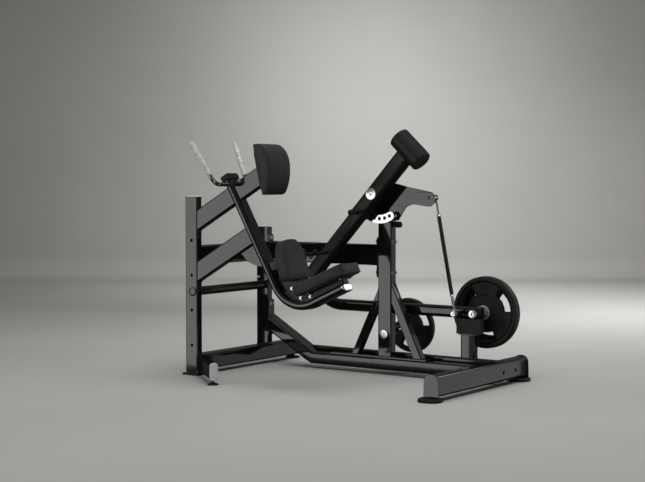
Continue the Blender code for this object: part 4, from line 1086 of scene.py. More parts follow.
# ---------------------------------------------------------------- spine beam with its end flanges
flange_x0 = COLUMN_X + TUBE_LONG / 2 + GAP
flange_x1 = MAIN_X - MAIN_W / 2 - GAP
spine_beam = straight(
    "spine_beam",
    at(flange_x0 + PLATE_T / 2, SPINE_Y, 0.7725),
    at(flange_x1 - PLATE_T / 2, SPINE_Y, 0.7725),
    rect_profile(TUBE_SHORT, 0.135),
    Y_AXIS,
    BLACK,
)
for low_x, far_half in ((flange_x0, 0.0245), (flange_x1 - PLATE_T, 0.030)):
    combine(spine_beam, block("tool", (low_x, SPINE_Y - 0.030, 0.628), (low_x + PLATE_T, SPINE_Y + far_half, 0.886), BLACK))
combine(
    spine_beam,
    straight(
        "tool",
        at(flange_x0 - 0.02, SPINE_Y, 0.7725),
        at(flange_x1 + 0.02, SPINE_Y, 0.7725),
        rect_profile(TUBE_SHORT - 2 * WALL, 0.135 - 2 * WALL, 0.006, 2),
        Y_AXIS,
        BLACK,
    ),
    "DIFFERENCE",
)

# ---------------------------------------------------------------- base rails
def rail(name, y, wide, z_range, bend_x, left_x):
    middle = sum(z_range) / 2
    rise = (bend_x - left_x) * math.tan(RAIL_SLOPE)
    right_x = REAR_BEAM_X - REAR_BEAM_W / 2 - GAP
    return sweep(
        name,
        [at(left_x, y, middle + rise), at(bend_x, y, middle), at(right_x, y, middle)],
        rect_profile(wide, z_range[1] - z_range[0], 0.012),
        Y_AXIS,
        BLACK,
        wall=WALL,
        start=(at(left_x, y, 0), X_AXIS),
    )


base_rail_near = rail(
    "base_rail_near", RAIL_NEAR_Y, RAIL_NEAR_W, RAIL_NEAR_Z, RAIL_NEAR_BEND_X, flange_x0 + PLATE_T + GAP
)
base_rail_far = rail("base_rail_far", RAIL_FAR_Y, RAIL_FAR_W, RAIL_FAR_Z, RAIL_FAR_BEND_X, -0.972)
rail_flange = block("rail_flange", (flange_x0, 0.345, 0.200), (flange_x0 + PLATE_T, 0.411, 0.440), BLACK)
combine(
    base_rail_far,
    block("tool", (-0.965, SPINE_Y + TUBE_SHORT / 2 + GAP, 0.250), (-0.895, RAIL_FAR_Y - RAIL_FAR_W / 2 + 0.002, 0.300), BLACK),
)

# ---------------------------------------------------------------- rear cross beam, its end plates and feet
rear_mid = sum(REAR_BEAM_Z) / 2
rear_beam = straight(
    "rear_beam",
    at(REAR_BEAM_X, REAR_BEAM_Y[0], rear_mid),
    at(REAR_BEAM_X, REAR_BEAM_Y[1], rear_mid),
    rect_profile(REAR_BEAM_W, REAR_BEAM_Z[1] - REAR_BEAM_Z[0], 0.020, 4),
    X_AXIS,
    BLACK,
    wall=WALL,
)
for hole_y in (0.347, 0.502):
    combine(rear_beam, rod(0.0112, at(REAR_BEAM_X + 0.03, hole_y, 0.082), X_AXIS, 0.03, 12), "DIFFERENCE")
end_outline = rounded_outline(
    [(-0.051, 0.0205), (0.051, 0.0205), (0.048, 0.158), (-0.048, 0.158)], [0.004, 0.004, 0.044, 0.044], 6
)
end_outline = [(x + REAR_BEAM_X, z) for x, z in end_outline]
rear_beam_plate_near = xz_slab(
    "rear_beam_plate_near", end_outline, REAR_BEAM_Y[0] - 0.008 - GAP, REAR_BEAM_Y[0] - GAP, BLACK
)
rear_beam_plate_far = xz_slab("rear_beam_plate_far", end_outline, REAR_BEAM_Y[1] + GAP, REAR_BEAM_Y[1] + 0.008 + GAP, BLACK)
FOOT_PROFILE = eased(
    [(0, 0), (0.0705, 0), (0.0728, 0.0022), (0.0735, 0.0050), (0.0735, 0.0072), (0.0722, 0.0080), (0.0722, 0.0094),
     (0.0732, 0.0102), (0.0722, 0.0150), (0.0690, 0.0188), (0.0660, 0.0200), (0.0, 0.0200)],
    0.0010,
    3,
)
rear_foot_near = turned("rear_foot_near", FOOT_PROFILE, at(0.892, -0.432, 0), Z_AXIS, RUBBER, 32)
rear_foot_far = turned("rear_foot_far", FOOT_PROFILE, at(0.908, 0.612, 0), Z_AXIS, RUBBER, 32)

# ---------------------------------------------------------------- main column and its A frame
plate_top = RAIL_NEAR_Z[1] + GAP + PLATE_T
a_frame_plate = block(
    "a_frame_plate", (-0.345, RAIL_NEAR_Y - 0.037, RAIL_NEAR_Z[1] + GAP), (0.395, RAIL_NEAR_Y + 0.032, plate_top), BLACK
)
main_column = straight(
    "main_column",
    at(MAIN_X, SPINE_Y, plate_top + GAP),
    at(MAIN_X, SPINE_Y, MAIN_TOP),
    rect_profile(MAIN_W, MAIN_D),
    X_AXIS,
    BLACK,
    wall=WALL,
    blind_end=True,
)


def a_strut(name, foot_x, side, wide):
    """A square brace from the plate up to the column's side."""
    lean = math.radians(25.5)
    direction = Vector((-side * math.sin(lean), 0, math.cos(lean)))
    base = at(foot_x, SPINE_Y, plate_top)
    face_x = MAIN_X + side * (MAIN_W / 2 + GAP)
    return straight(
        name,
        base,
        base + direction * 0.4,
        rect_profile(0.054, wide, 0.006, 2),
        Y_AXIS,
        BLACK,
        wall=0.003,
        start=(at(0, 0, plate_top + GAP), Z_AXIS),
        end=(at(face_x, 0, 0), X_AXIS),
    )


a_strut_front = a_strut("a_strut_front", -0.163, -1, 0.046)
a_strut_rear = a_strut("a_strut_rear", 0.318, 1, 0.058)

# ---------------------------------------------------------------- rest post and block
post_base = RAIL_FAR_Z[1] + GAP
rest_post = straight(
    "rest_post",
    at(0.6245, LEVER_Y - 0.006, post_base),
    at(0.6245, LEVER_Y - 0.006, 0.286),
    rect_profile(TUBE_LONG, 0.062, 0.016),
    X_AXIS,
    BLACK,
    wall=WALL,
)
combine(rest_post, block("tool", (0.567, LEVER_Y - 0.044, 0.282), (0.712, LEVER_Y + 0.0245, 0.290), BLACK))
lever_bottom = LEVER_Z - LEVER_DEPTH / 2
rest_block = block(
    "rest_block", (0.554, LEVER_Y - 0.049, 0.290 + GAP), (0.722, LEVER_Y + 0.0065, lever_bottom - GAP), RUBBER, 0.004
)

# ---------------------------------------------------------------- storage horn and small weight plate
store_dir = Vector((0, math.cos(STORE_TILT), math.sin(STORE_TILT)))
store_base = at(MAIN_X, SPINE_Y + MAIN_D / 2, STORE_Z)
storage_horn = turned(
    "storage_horn",
    eased([(0, 0), (0.040, 0), (0.040, 0.010), (0.0245, 0.010), (0.0245, 0.325), (0.0215, 0.330), (0, 0.330)], 0.0012, 3),
    store_base + store_dir * 0.0053,
    store_dir,
    STEEL,
    32,
)
storage_horn_cap = turned(
    "storage_horn_cap",
    eased(
        [(0, 0), (0.0282, 0), (0.0288, 0.0040), (0.0284, 0.0080), (0.0268, 0.0096), (0.0180, 0.0098), (0.0172, 0.0092), (0.0162, 0.0092),
         (0.0154, 0.0098), (0.0062, 0.0098), (0.0052, 0.0060), (0, 0.0060)],
        0.0005,
        3,
    ),
    at(MAIN_X, SPINE_Y - MAIN_D / 2 - GAP, STORE_Z),
    (0, -1, 0),
    CHROME,
    32,
)


def weight_plate(name, radius, thick, web_thick, origin, axis, bore, band=(0.526, 0.811)):
    """A tri-grip plate: rounded rim, groove, three spoke panels, domed hub and three open pockets."""
    axis = Vector(axis).normalized()
    up = Vector(Z_AXIS) - axis * axis.z
    up.normalize()
    side = up.cross(axis).normalized()
    deep = (thick - web_thick) / 2
    k = thick / 0.060
    # (radius, depth below the outermost face, whether the pockets reach this ring)
    rings = [
        (bore, 0.0018 * k, 0), (bore + 0.0016, 0.0, 0), (radius * 0.155, 0.0, 0), (radius * 0.185, 0.0, 0),
        (radius * 0.192, 0.0012 * k, 0), (radius * 0.20, 0.0015 * k, 0), (radius * 0.25, 0.0020 * k, 0),
        (radius * 0.31, 0.0034 * k, 0), (radius * 0.37, 0.0058 * k, 0), (radius * 0.42, 0.0086 * k, 0),
        (radius * 0.455, 0.0112 * k, 0), (radius * 0.468, 0.0118 * k, 0), (radius * 0.480, 0.0098 * k, 0),
        (radius * 0.492, 0.0090 * k, 0), (radius * (band[0] - 0.020), 0.0089 * k, 1), (radius * (band[0] - 0.006), 0.0088 * k, 1),
        (radius * (band[0] + 0.001), 0.0088 * k, 1), (radius * 0.60, 0.0086 * k, 1), (radius * 0.67, 0.0084 * k, 1),
        (radius * 0.74, 0.0082 * k, 1), (radius * (band[1] - 0.008), 0.0080 * k, 1), (radius * (band[1] - 0.001), 0.0080 * k, 1),
        (radius * (band[1] + 0.013), 0.0080 * k, 1), (radius * 0.836, 0.0081 * k, 0), (radius * 0.842, 0.0090 * k, 0),
        (radius * 0.848, 0.0140 * k, 0), (radius * 0.862, 0.0142 * k, 0), (radius * 0.868, 0.0060 * k, 0),
        (radius * 0.874, 0.0018 * k, 0), (radius * 0.884, 0.0004 * k, 0), (radius * 0.90, 0.0, 0),
        (radius * 0.945, 0.0, 0), (radius - 0.0085, 0.0008, 0), (radius - 0.0040, 0.0030, 0),
        (radius - 0.0012, 0.0068, 0), (radius, 0.0115 * k + 0.002, 0),
    ]
    inner, outer = radius * band[0], radius * band[1]
    spokes = []
    for centre in (32.0, 152.0, 272.0):
        stops = [-60, -52, -44, -37, -33, -30.5, -29, -28, -26.6, -25, -24.2, -20, -15, -10, -5, 0]
        stops = stops + [-s for s in stops[-2::-1]]
        spokes += [(centre + s, s) for s in stops[:-1]]
    bm = bmesh.new()
    faces = []
    for sign in (0, 1):
        grid = []
        for r, depth, pocketed in rings:
            row = []
            for angle, away in spokes:
                inside = max(0.0, min(1.0, (29.0 - abs(away)) / 1.6)) * pocketed
                low = depth + (deep - depth) * inside
                if pocketed and abs(away) <= 25.1 and inner <= r <= outer and (abs(away) > 24.9 or r < inner + 0.002 or r > outer - 0.002):
                    low += 0.0022 * k
                height = low if sign == 0 else thick - low
                turn = math.radians(angle)
                row.append(bm.verts.new(origin + axis * height + side * (r * math.cos(turn)) + up * (r * math.sin(turn))))
            grid.append(row)
        faces.append(grid)
    count = len(spokes)

    def cut(j, i):
        m = (i + 1) % count
        return (
            rings[j][0] >= inner and rings[j + 1][0] <= outer
            and abs(spokes[i][1]) <= 25.1 and abs(spokes[m][1]) <= 25.1
            and rings[j][2] and rings[j + 1][2] and spokes[i][1] != -60
        )

    for grid in faces:
        for j in range(len(rings) - 1):
            for i in range(count):
                if not cut(j, i):
                    m = (i + 1) % count
                    bm.faces.new((grid[j][i], grid[j][m], grid[j + 1][m], grid[j + 1][i]))
    bm.edges.ensure_lookup_table()
    near, far = faces
    match = {}
    for row_a, row_b in zip(near, far):
        for a, b in zip(row_a, row_b):
            match[a] = b
    for edge in [e for e in bm.edges if len(e.link_faces) == 1 and e.verts[0] in match and e.verts[1] in match]:
        a, b = edge.verts
        low_a, low_b = match[a], match[b]
        bm.faces.new((a, b, low_b, low_a))
    loose = [v for v in bm.verts if not v.link_faces]
    for v in loose:
        bm.verts.remove(v)
    made = new_object(name, bm, COATED)
    smooth = made.modifiers.new("round", "SUBSURF")
    smooth.levels = smooth.render_levels = 1
    return made


def plate_bush(name, plate, radius, thick, origin, axis, body):
    """The steel bush that lines a plate's bore."""
    axis = Vector(axis).normalized()
    bush = turned(
        name,
        eased([(radius, 0.0004), (radius + 0.0045, 0.0004), (radius + 0.0045, -0.0006), (radius + 0.0050, -0.0006),
               (radius + 0.0050, 0.0020), (radius, 0.0020)], 0.0002, 2),
        origin,
        axis,
        CHROME,
        32,
    )
    BUILT.pop(name)
    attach(bush, body)
    return bush


HORN_R = 0.0245
small_at = 0.240
plate_small = weight_plate(
    "plate_small", PLATE_SMALL_R, PLATE_SMALL_T, 0.020, store_base + store_dir * small_at, store_dir, HORN_R + 0.0008
)

# ---------------------------------------------------------------- bearing housing, stop plate and bumper on the column
BEARING_Y = (0.336, 0.420)
bearing_housing = block("bearing_housing", (0.030, 0.352, MAIN_TOP + GAP), (0.118, 0.404, 1.150), BLACK)
combine(bearing_housing, rod(0.042, at(PIVOT[0], BEARING_Y[0], PIVOT[1]), Y_AXIS, BEARING_Y[1] - BEARING_Y[0], 32))
combine(bearing_housing, rod(SHAFT_R + 0.0003, at(PIVOT[0], BEARING_Y[0] - 0.01, PIVOT[1]), Y_AXIS, 0.12, 32), "DIFFERENCE")
stop_bumper = turned(
    "stop_bumper",
    eased([(0, 0), (0.0120, 0), (0.0120, 0.0100), (0.0200, 0.0110), (0.0200, 0.0460), (0.0130, 0.0560), (0, 0.0580)], 0.006, 8),
    at(MAIN_X + MAIN_W / 2 + GAP, SPINE_Y + 0.006, 0.972),
    X_AXIS,
    RUBBER,
    24,
)

# ---------------------------------------------------------------- lever bracket with its pin, on the far column
lp = LEVER_PIVOT
bracket_y = SPINE_Y + TUBE_SHORT / 2 + GAP
lever_bracket = xz_slab(
    "lever_bracket",
    rounded_outline(
        [(-0.975, lp[1] - 0.075), (-0.890, lp[1] - 0.075), (lp[0] + 0.042, lp[1] - 0.040), (lp[0] + 0.042, lp[1] + 0.040), (-0.890, lp[1] + 0.060), (-0.975, lp[1] + 0.060)],
        [0.010, 0.02, 0.030, 0.030, 0.02, 0.010],
        3,
    ),
    bracket_y,
    bracket_y + 0.012,
    BLACK,
)
PIN_R = 0.0125
combine(lever_bracket, rod(0.026, at(lp[0], bracket_y + 0.010, lp[1]), Y_AXIS, 0.040, 24))
combine(lever_bracket, rod(PIN_R, at(lp[0], bracket_y + 0.040, lp[1]), Y_AXIS, LEVER_Y + 0.038 - bracket_y - 0.040, 24))

# ---------------------------------------------------------------- kick arm
arm_dir = Vector((math.cos(ARM_ANGLE), 0, math.sin(ARM_ANGLE)))
arm_side = Vector((math.sin(ARM_ANGLE), 0, -math.cos(ARM_ANGLE)))
pivot_point = at(PIVOT[0], ARM_Y, PIVOT[1])
sleeve_profile = rect_profile(SLEEVE_WIDTH, SLEEVE_DEPTH, 0.026, 4)
arm_sleeve = straight(
    "arm_sleeve",
    pivot_point + arm_dir * SLEEVE_LOW,
    pivot_point + arm_dir * SLEEVE_HIGH,
    sleeve_profile,
    Y_AXIS,
    BLACK,
    wall=WALL,
)
combine(arm_sleeve, rod(SHAFT_R + 0.0003, pivot_point - Vector((0, 0.08, 0)), Y_AXIS, 0.16, 24), "DIFFERENCE")
head_centre = pivot_point + arm_dir * WEIGHT_HEAD_AT
half_head = WEIGHT_HEAD_LENGTH / 2
combine(arm_sleeve, rod(WEIGHT_HEAD_R + GAP, head_centre - arm_side * half_head, arm_side, WEIGHT_HEAD_LENGTH, 40), "DIFFERENCE")
counterweight = turned(
    "counterweight",
    [
        (0, 0.0012),
        (WEIGHT_HEAD_R - 0.022, 0.0004),
        (WEIGHT_HEAD_R - 0.010, 0),
        (WEIGHT_HEAD_R - 0.0062, 0.0008),
        (WEIGHT_HEAD_R - 0.0030, 0.0028),
        (WEIGHT_HEAD_R - 0.0008, 0.0060),
        (WEIGHT_HEAD_R, 0.0100),
        (WEIGHT_HEAD_R, WEIGHT_HEAD_LENGTH - 0.0100),
        (WEIGHT_HEAD_R - 0.0008, WEIGHT_HEAD_LENGTH - 0.0060),
        (WEIGHT_HEAD_R - 0.0030, WEIGHT_HEAD_LENGTH - 0.0028),
        (WEIGHT_HEAD_R - 0.0062, WEIGHT_HEAD_LENGTH - 0.0008),
        (WEIGHT_HEAD_R - 0.010, WEIGHT_HEAD_LENGTH),
        (WEIGHT_HEAD_R - 0.022, WEIGHT_HEAD_LENGTH - 0.0004),
        (0, WEIGHT_HEAD_LENGTH - 0.0012),
    ],
    head_centre - arm_side * half_head,
    arm_side,
    COATED,
    40,
)
near_face = ARM_Y - SLEEVE_WIDTH / 2
far_face = ARM_Y + SLEEVE_WIDTH / 2
pivot_shaft = turned(
    "pivot_shaft",
    [
        (0, 0.0052),
        (0.0060, 0.0050, 1),
        (0.0062, 0.0008, 1),
        (0.0076, 0.0001),
        (0.0120, 0.0000),
        (0.0345, 0.0000),
        (0.0362, 0.0006),
        (0.0371, 0.0020),
        (0.0375, 0.0042),
        (0.0375, 0.0066),
        (0.0375, 0.0120),
        (0.0370, 0.013 - GAP),
        (SHAFT_R, 0.013 - GAP),
        (SHAFT_R, 0.275),
        (0, 0.275),
    ],
    at(PIVOT[0], near_face - 0.013, PIVOT[1]),
    Y_AXIS,
    CHROME,
    32,
)
# selector: a bright arc around the pivot, stood off the gooseneck plate on two studs
sector_mid, sector_half = (SECTOR_IN + SECTOR_OUT) / 2, (SECTOR_OUT - SECTOR_IN) / 2
sector = []
for i in range(25):
    angle = math.radians(SECTOR_FROM + (SECTOR_TO - SECTOR_FROM) * i / 24)
    sector.append((PIVOT[0] + SECTOR_OUT * math.cos(angle), PIVOT[1] + SECTOR_OUT * math.sin(angle)))
end_angle = math.radians(SECTOR_TO)
for i in range(1, 8):
    turn = end_angle + math.pi * i / 8
    sector.append(
        (
            PIVOT[0] + sector_mid * math.cos(end_angle) + sector_half * math.cos(turn),
            PIVOT[1] + sector_mid * math.sin(end_angle) + sector_half * math.sin(turn),
        )
    )
for i in range(19):
    angle = math.radians(SECTOR_TO + (SECTOR_FROM - SECTOR_TO) * i / 18)
    sector.append((PIVOT[0] + SECTOR_IN * math.cos(angle), PIVOT[1] + SECTOR_IN * math.sin(angle)))
sector_holes = []
for i in range(7):
    a = math.radians(ARM_ANGLE_DEG - 180 + SECTOR_STEP * (i - 1))
    sector_holes.append((PIVOT[0] + 0.159 * math.cos(a), PIVOT[1] + 0.159 * math.sin(a), 0.0110))
sector_plate = xz_slab("sector_plate", sector, far_face + GAP + 0.002, 0.2885, CHROME, sector_holes, 14)
for stud in (-71.0, -98.0):
    a = math.radians(stud)
    place = at(PIVOT[0] + 0.1405 * math.cos(a), 0.2875, PIVOT[1] + 0.1405 * math.sin(a))
    combine(sector_plate, rod(0.0055, place, Y_AXIS, GOOSE_Y[0] - GAP - 0.2875, 16))
goose_outline = rounded_outline(
    [
        (0.020, 1.232),
        (0.178, 1.236),
        (0.252, 1.217),
        (0.446, 1.181),
        (0.476, 1.126),
        (0.428, 1.090),
        (0.300, 1.106),
        (0.252, 1.088),
        (0.190, 0.998),
        (0.150, 1.010),
        (0.020, 1.108),
    ],
    [0.06, 0.02, 0.0, 0.034, 0.034, 0.034, 0.03, 0.03, 0.012, 0.012, 0.05],
    5,
)
gooseneck_plate = xz_slab(
    "gooseneck_plate",
    goose_outline,
    GOOSE_Y[0],
    GOOSE_Y[1],
    BLACK,
    [(PIVOT[0], PIVOT[1], SHAFT_R + 0.0003), (GOOSE_EYE[0], GOOSE_EYE[1], 0.0083)],
    32,
)
combine(
    gooseneck_plate,
    turned(
        "tool",
        [(SHAFT_R + 0.0003, 0), (0.036, 0), (0.036, 0.044), (SHAFT_R + 0.0003, 0.044)],
        at(PIVOT[0], far_face + GAP, PIVOT[1]),
        Y_AXIS,
        BLACK,
        32,
    ),
)

# telescoping lower tube with the foot plate
extension_profile = rect_profile(SLEEVE_WIDTH - 2 * WALL - 0.0016, SLEEVE_DEPTH - 2 * WALL - 0.0016, 0.0225, 4)
arm_extension = straight(
    "arm_extension",
    pivot_point + arm_dir * -0.035,
    pivot_point + arm_dir * EXTENSION_LOW,
    extension_profile,
    Y_AXIS,
    BLACK,
    wall=WALL,
    blind_end=True,
)
foot_at = pivot_point + arm_dir * FOOT_AT
ext_half = (SLEEVE_WIDTH - 2 * WALL - 0.0016) / 2
bar_near = Vector((foot_at.x, FOOT_Y[0] - 0.012 - ORIGIN_Y, foot_at.z))
combine(arm_extension, rod(FOOT_BAR_R, bar_near, Y_AXIS, ARM_Y - ext_half + 0.002 - FOOT_Y[0] + 0.012, 20))
foot_bracket = straight(
    "tool",
    foot_at + arm_dir * 0.040 + Vector((0, 0.045 - ARM_Y, 0)),
    foot_at - arm_dir * 0.040 + Vector((0, 0.045 - ARM_Y, 0)),
    rect_profile(0.007, 0.026, 0.003, 2),
    Y_AXIS,
    BLACK,
)
combine(arm_extension, foot_bracket)
ROLLER = FOOT_Y[1] - FOOT_Y[0]
roller_profile = [(FOOT_BAR_R + 0.0004, 0.0030), (0.0200, 0.0014), (0.0300, 0.0)]
for i in range(1, 9):
    turn = math.radians(90 * i / 8)
    roller_profile.append((0.0330 + 0.0125 * math.sin(turn), 0.0125 * (1 - math.cos(turn))))
for i in range(1, 16):
    t = i / 16
    roller_profile.append((0.0455 + 0.0014 * math.sin(math.pi * t), 0.0125 + (ROLLER - 0.025) * t))
for i in range(8, -1, -1):
    turn = math.radians(90 * i / 8)
    roller_profile.append((0.0330 + 0.0125 * math.sin(turn), ROLLER - 0.0125 * (1 - math.cos(turn))))
roller_profile += [(0.0300, ROLLER), (0.0200, ROLLER - 0.0014), (FOOT_BAR_R + 0.0004, ROLLER - 0.0030)]
foot_roller = turned(
    "foot_roller",
    roller_profile,
    Vector((foot_at.x, FOOT_Y[0] - ORIGIN_Y, foot_at.z)),
    Y_AXIS,
    FOAM,
    32,
)

# pull pin in its boss on the sleeve
pin_centre = pivot_point + arm_dir * -0.159
pin_point = Vector((pin_centre.x, near_face - ORIGIN_Y, pin_centre.z))
combine(
    arm_sleeve,
    turned(
        "tool",
        [(0.0065, -0.002), (0.0165, -0.002), (0.0165, 0.012), (0.0125, 0.016), (0.0125, 0.046), (0.0065, 0.046)],
        pin_point,
        (0, -1, 0),
        BLACK,
        20,
    ),
)
pull_pin = turned(
    "pull_pin",
    eased(
        [(0, 0.001), (0.006, 0.001), (0.006, 0.052), (0.0095, 0.0545), (0.0125, 0.0560), (0.0170, 0.0605), (0.0185, 0.0680),
         (0.0185, 0.0760), (0.0172, 0.0850), (0.0130, 0.0915), (0.0075, 0.0945), (0, 0.0950)],
        0.0018,
        3,
    ),
    pin_point,
    (0, -1, 0),
    RUBBER,
    24,
)

# ---------------------------------------------------------------- tie rod
eye_top = at(GOOSE_EYE[0], ROD_Y, GOOSE_EYE[1])
eye_low = at(ROD_LOW[0], ROD_Y, ROD_LOW[1])
rod_dir = (eye_low - eye_top).normalized()
rod_length = (eye_low - eye_top).length
tie_rod = turned(
    "tie_rod",
    eased(
        [(0, 0.118), (0.0085, 0.118), (0.0105, 0.1205), (0.0125, 0.1225), (0.0125, rod_length - 0.130), (0.0118, rod_length - 0.127),
         (0.0092, rod_length - 0.122), (0, rod_length - 0.122)],
        0.0012,
        3,
    ),
    eye_top,
    rod_dir,
    BLACK,
    24,
)
ends = bmesh.new()
for eye, direction, inner_end in ((eye_top, rod_dir, 0.119), (eye_low, -rod_dir, 0.123)):
    # shank with a fine thread, from the eye's neck into the body
    stout = 0.0024 if eye is eye_low else 0.0
    shank = [(0, 0.014), (0.0078 + stout, 0.014), (0.0078 + stout, 0.030), (0.0070 + stout, 0.034)]
    pitch, place = 0.0018, 0.036
    while place < inner_end - 0.002:
        shank += [(0.0058 + stout, place), (0.0066 + stout, place + pitch * 0.35), (0.0066 + stout, place + pitch * 0.55)]
        place += pitch
    shank += [(0.0062, inner_end), (0, inner_end)]
    turned_into(ends, shank, eye, direction, 36)
    turned_into(
        ends,
        [(0, inner_end - 0.0125), (0.0070, inner_end - 0.0125), (0.0102, inner_end - 0.0112, 1), (0.0105, inner_end - 0.0060, 1), (0.0102, inner_end - 0.0018, 1), (0.0075, inner_end - 0.0008), (0, inner_end - 0.0008)],
        eye,
        direction,
        48,
    )
    # eye ring and the ball it holds
    turned_into(
        ends,
        eased([(0.0118, -0.0068), (0.0150, -0.0078), (0.0185, -0.0062), (0.0192, 0.0), (0.0185, 0.0062), (0.0150, 0.0078), (0.0118, 0.0068)], 0.0015, 3),
        eye,
        Y_AXIS,
        72,
    )
    ball = [(0.0083, -0.0098)]
    for i in range(13):
        turn = math.radians(-58 + 116 * i / 12)
        ball.append((0.0114 * math.cos(turn) + 0.0001, 0.0114 * math.sin(turn)))
    ball.append((0.0083, 0.0098))
    turned_into(ends, ball, eye, Y_AXIS, 48)
tie_rod_ends = new_object("tie_rod_ends", ends, CHROME)
bolts = bmesh.new()
# the upper bolt runs from the joint eye to the gooseneck plate, with a nut on its far end
turned_into(bolts, eased([(0, 0.0006), (0.0080, 0.0006), (0.0080, ROD_Y - GOOSE_Y[1] + 0.013), (0, ROD_Y - GOOSE_Y[1] + 0.013)], 0.0012, 2), at(GOOSE_EYE[0], GOOSE_Y[1], GOOSE_EYE[1]), Y_AXIS, 48)
turned_into(bolts, [(0, ROD_Y - GOOSE_Y[1] + 0.0100), (0.0125, ROD_Y - GOOSE_Y[1] + 0.0100), (0.0125, ROD_Y - GOOSE_Y[1] + 0.0114), (0.0095, ROD_Y - GOOSE_Y[1] + 0.0118, 1), (0.0098, ROD_Y - GOOSE_Y[1] + 0.0180, 1), (0.0090, ROD_Y - GOOSE_Y[1] + 0.0196), (0, ROD_Y - GOOSE_Y[1] + 0.0198)], at(GOOSE_EYE[0], GOOSE_Y[1], GOOSE_EYE[1]), Y_AXIS, 48)
turned_into(bolts, [(0, ROD_Y - GOOSE_Y[1] - 0.0104), (0.0120, ROD_Y - GOOSE_Y[1] - 0.0104), (0.0125, ROD_Y - GOOSE_Y[1] - 0.0120), (0.0125, 0.0022), (0.0120, 0.0010), (0, 0.0010)], at(GOOSE_EYE[0], GOOSE_Y[1], GOOSE_EYE[1]), Y_AXIS, 48)
# the lower bolt carries a round capped head with a socket
turned_into(
    bolts,
    [(0, -0.0190), (0.0048, -0.0192, 1), (0.0050, -0.0219, 1), (0.0064, -0.0222), (0.0178, -0.0222), (0.0190, -0.0214), (0.0195, -0.0196),
     (0.0195, -0.0150), (0.0190, -0.0112), (0.0178, -0.0104), (0.0090, -0.0102), (0.0090, 0.0220), (0, 0.0220)],
    eye_low,
    Y_AXIS,
    72,
)
tie_rod_bolts = new_object("tie_rod_bolts", bolts, CHROME)

# ---------------------------------------------------------------- weight lever, load horn and large plate
lever_path = filleted(
    [at(lp[0], LEVER_Y, lp[1]), at(LEVER_BEND_X, LEVER_Y, LEVER_Z), at(LEVER_END_X, LEVER_Y, LEVER_Z)], [0.22], 6
)
lever_start = (lever_path[1] - lever_path[0]).normalized()
lever_path[0] = lever_path[0] + lever_start * 0.012
weight_lever = sweep(
    "weight_lever", lever_path, rect_profile(LEVER_WIDTH, LEVER_DEPTH, 0.0235, 5), Y_AXIS, BLACK, wall=WALL, blind_end=True
)
combine(weight_lever, rod(0.034, at(lp[0], LEVER_Y - 0.031, lp[1]), Y_AXIS, 0.062, 32))
combine(weight_lever, rod(PIN_R + 0.0003, at(lp[0], LEVER_Y - 0.05, lp[1]), Y_AXIS, 0.10, 24), "DIFFERENCE")
combine(weight_lever, rod(0.0203, at(HORN[0], LEVER_Y - 0.05, HORN[1]), Y_AXIS, 0.10, 32), "DIFFERENCE")
horn_y0 = LEVER_Y - LEVER_WIDTH / 2 - 0.030
horn_span = 0.745 - horn_y0
hub_y = LEVER_Y + LEVER_WIDTH / 2 + GAP - horn_y0
load_horn = turned(
    "load_horn",
    [
        (0, 0.0048),
        (0.0052, 0.0046, 1),
        (0.0054, 0.0006, 1),
        (0.0068, 0.0001),
        (0.0110, 0.0000),
        (0.0246, 0.0000),
        (0.0260, 0.0008),
        (0.0267, 0.0026),
        (0.0268, 0.0060),
        (0.0268, 0.0110),
        (0.0258, 0.0120),
        (0.020, 0.0130),
        (0.020, hub_y),
        (0.0420, hub_y),
        (0.0430, hub_y + 0.0010),
        (0.0430, hub_y + 0.0650),
        (0.0422, hub_y + 0.0660),
        (HORN_R, hub_y + 0.068),
        (HORN_R, horn_span - 0.005),
        (0.0215, horn_span),
        (0, horn_span),
    ],
    at(HORN[0], horn_y0, HORN[1]),
    Y_AXIS,
    STEEL,
    32,
)
combine(
    weight_lever,
    turned(
        "tool",
        [(0, -0.002), (0.014, -0.002), (0.014, 0.038), (0.009, 0.040), (0, 0.040)],
        at(ROD_LOW[0], LEVER_Y - LEVER_WIDTH / 2, ROD_LOW[1] + 0.002),
        (0, -1, 0),
        BLACK,
        20,
    ),
)
plate_large = weight_plate(
    "plate_large",
    PLATE_LARGE_R,
    PLATE_LARGE_T,
    0.028,
    at(HORN[0], PLATE_LARGE_Y - PLATE_LARGE_T / 2, HORN[1]),
    Y_AXIS,
    HORN_R + 0.0008,
    (0.560, 0.776),
)
PLATE_SECOND_R = 0.196
PLATE_SECOND_Y = PLATE_LARGE_Y + PLATE_LARGE_T / 2 + 0.002  # its near face, just behind the large plate
plate_second = weight_plate(
    "plate_second", PLATE_SECOND_R, PLATE_SMALL_T, 0.020, at(HORN[0], PLATE_SECOND_Y, HORN[1]), Y_AXIS, HORN_R + 0.0008, (0.526, 0.770)
)

small_origin = store_base + store_dir * small_at
large_origin = at(HORN[0], PLATE_LARGE_Y - PLATE_LARGE_T / 2, HORN[1])
plate_bush("plate_small_bush", plate_small, HORN_R + 0.0008, PLATE_SMALL_T, small_origin, store_dir, "plate_small")
second_origin = at(HORN[0], PLATE_SECOND_Y, HORN[1])
plate_bush("plate_second_bush", plate_second, HORN_R + 0.0008, PLATE_SMALL_T, second_origin, Y_AXIS, "plate_large")
plate_bush("plate_large_bush", plate_large, HORN_R + 0.0008, PLATE_LARGE_T, large_origin, Y_AXIS, "plate_large")


# ---------------------------------------------------------------- upholstery
def evaluated_mesh(obj):
    bpy.context.view_layer.update()
    graph = bpy.context.evaluated_depsgraph_get()
    return bpy.data.meshes.new_from_object(obj.evaluated_get(graph))


def points_of(mesh, what="co"):
    values = np.empty(len(mesh.vertices) * 3, np.float32)
    mesh.vertices.foreach_get(what, values)
    return values.reshape(-1, 3).astype(float)


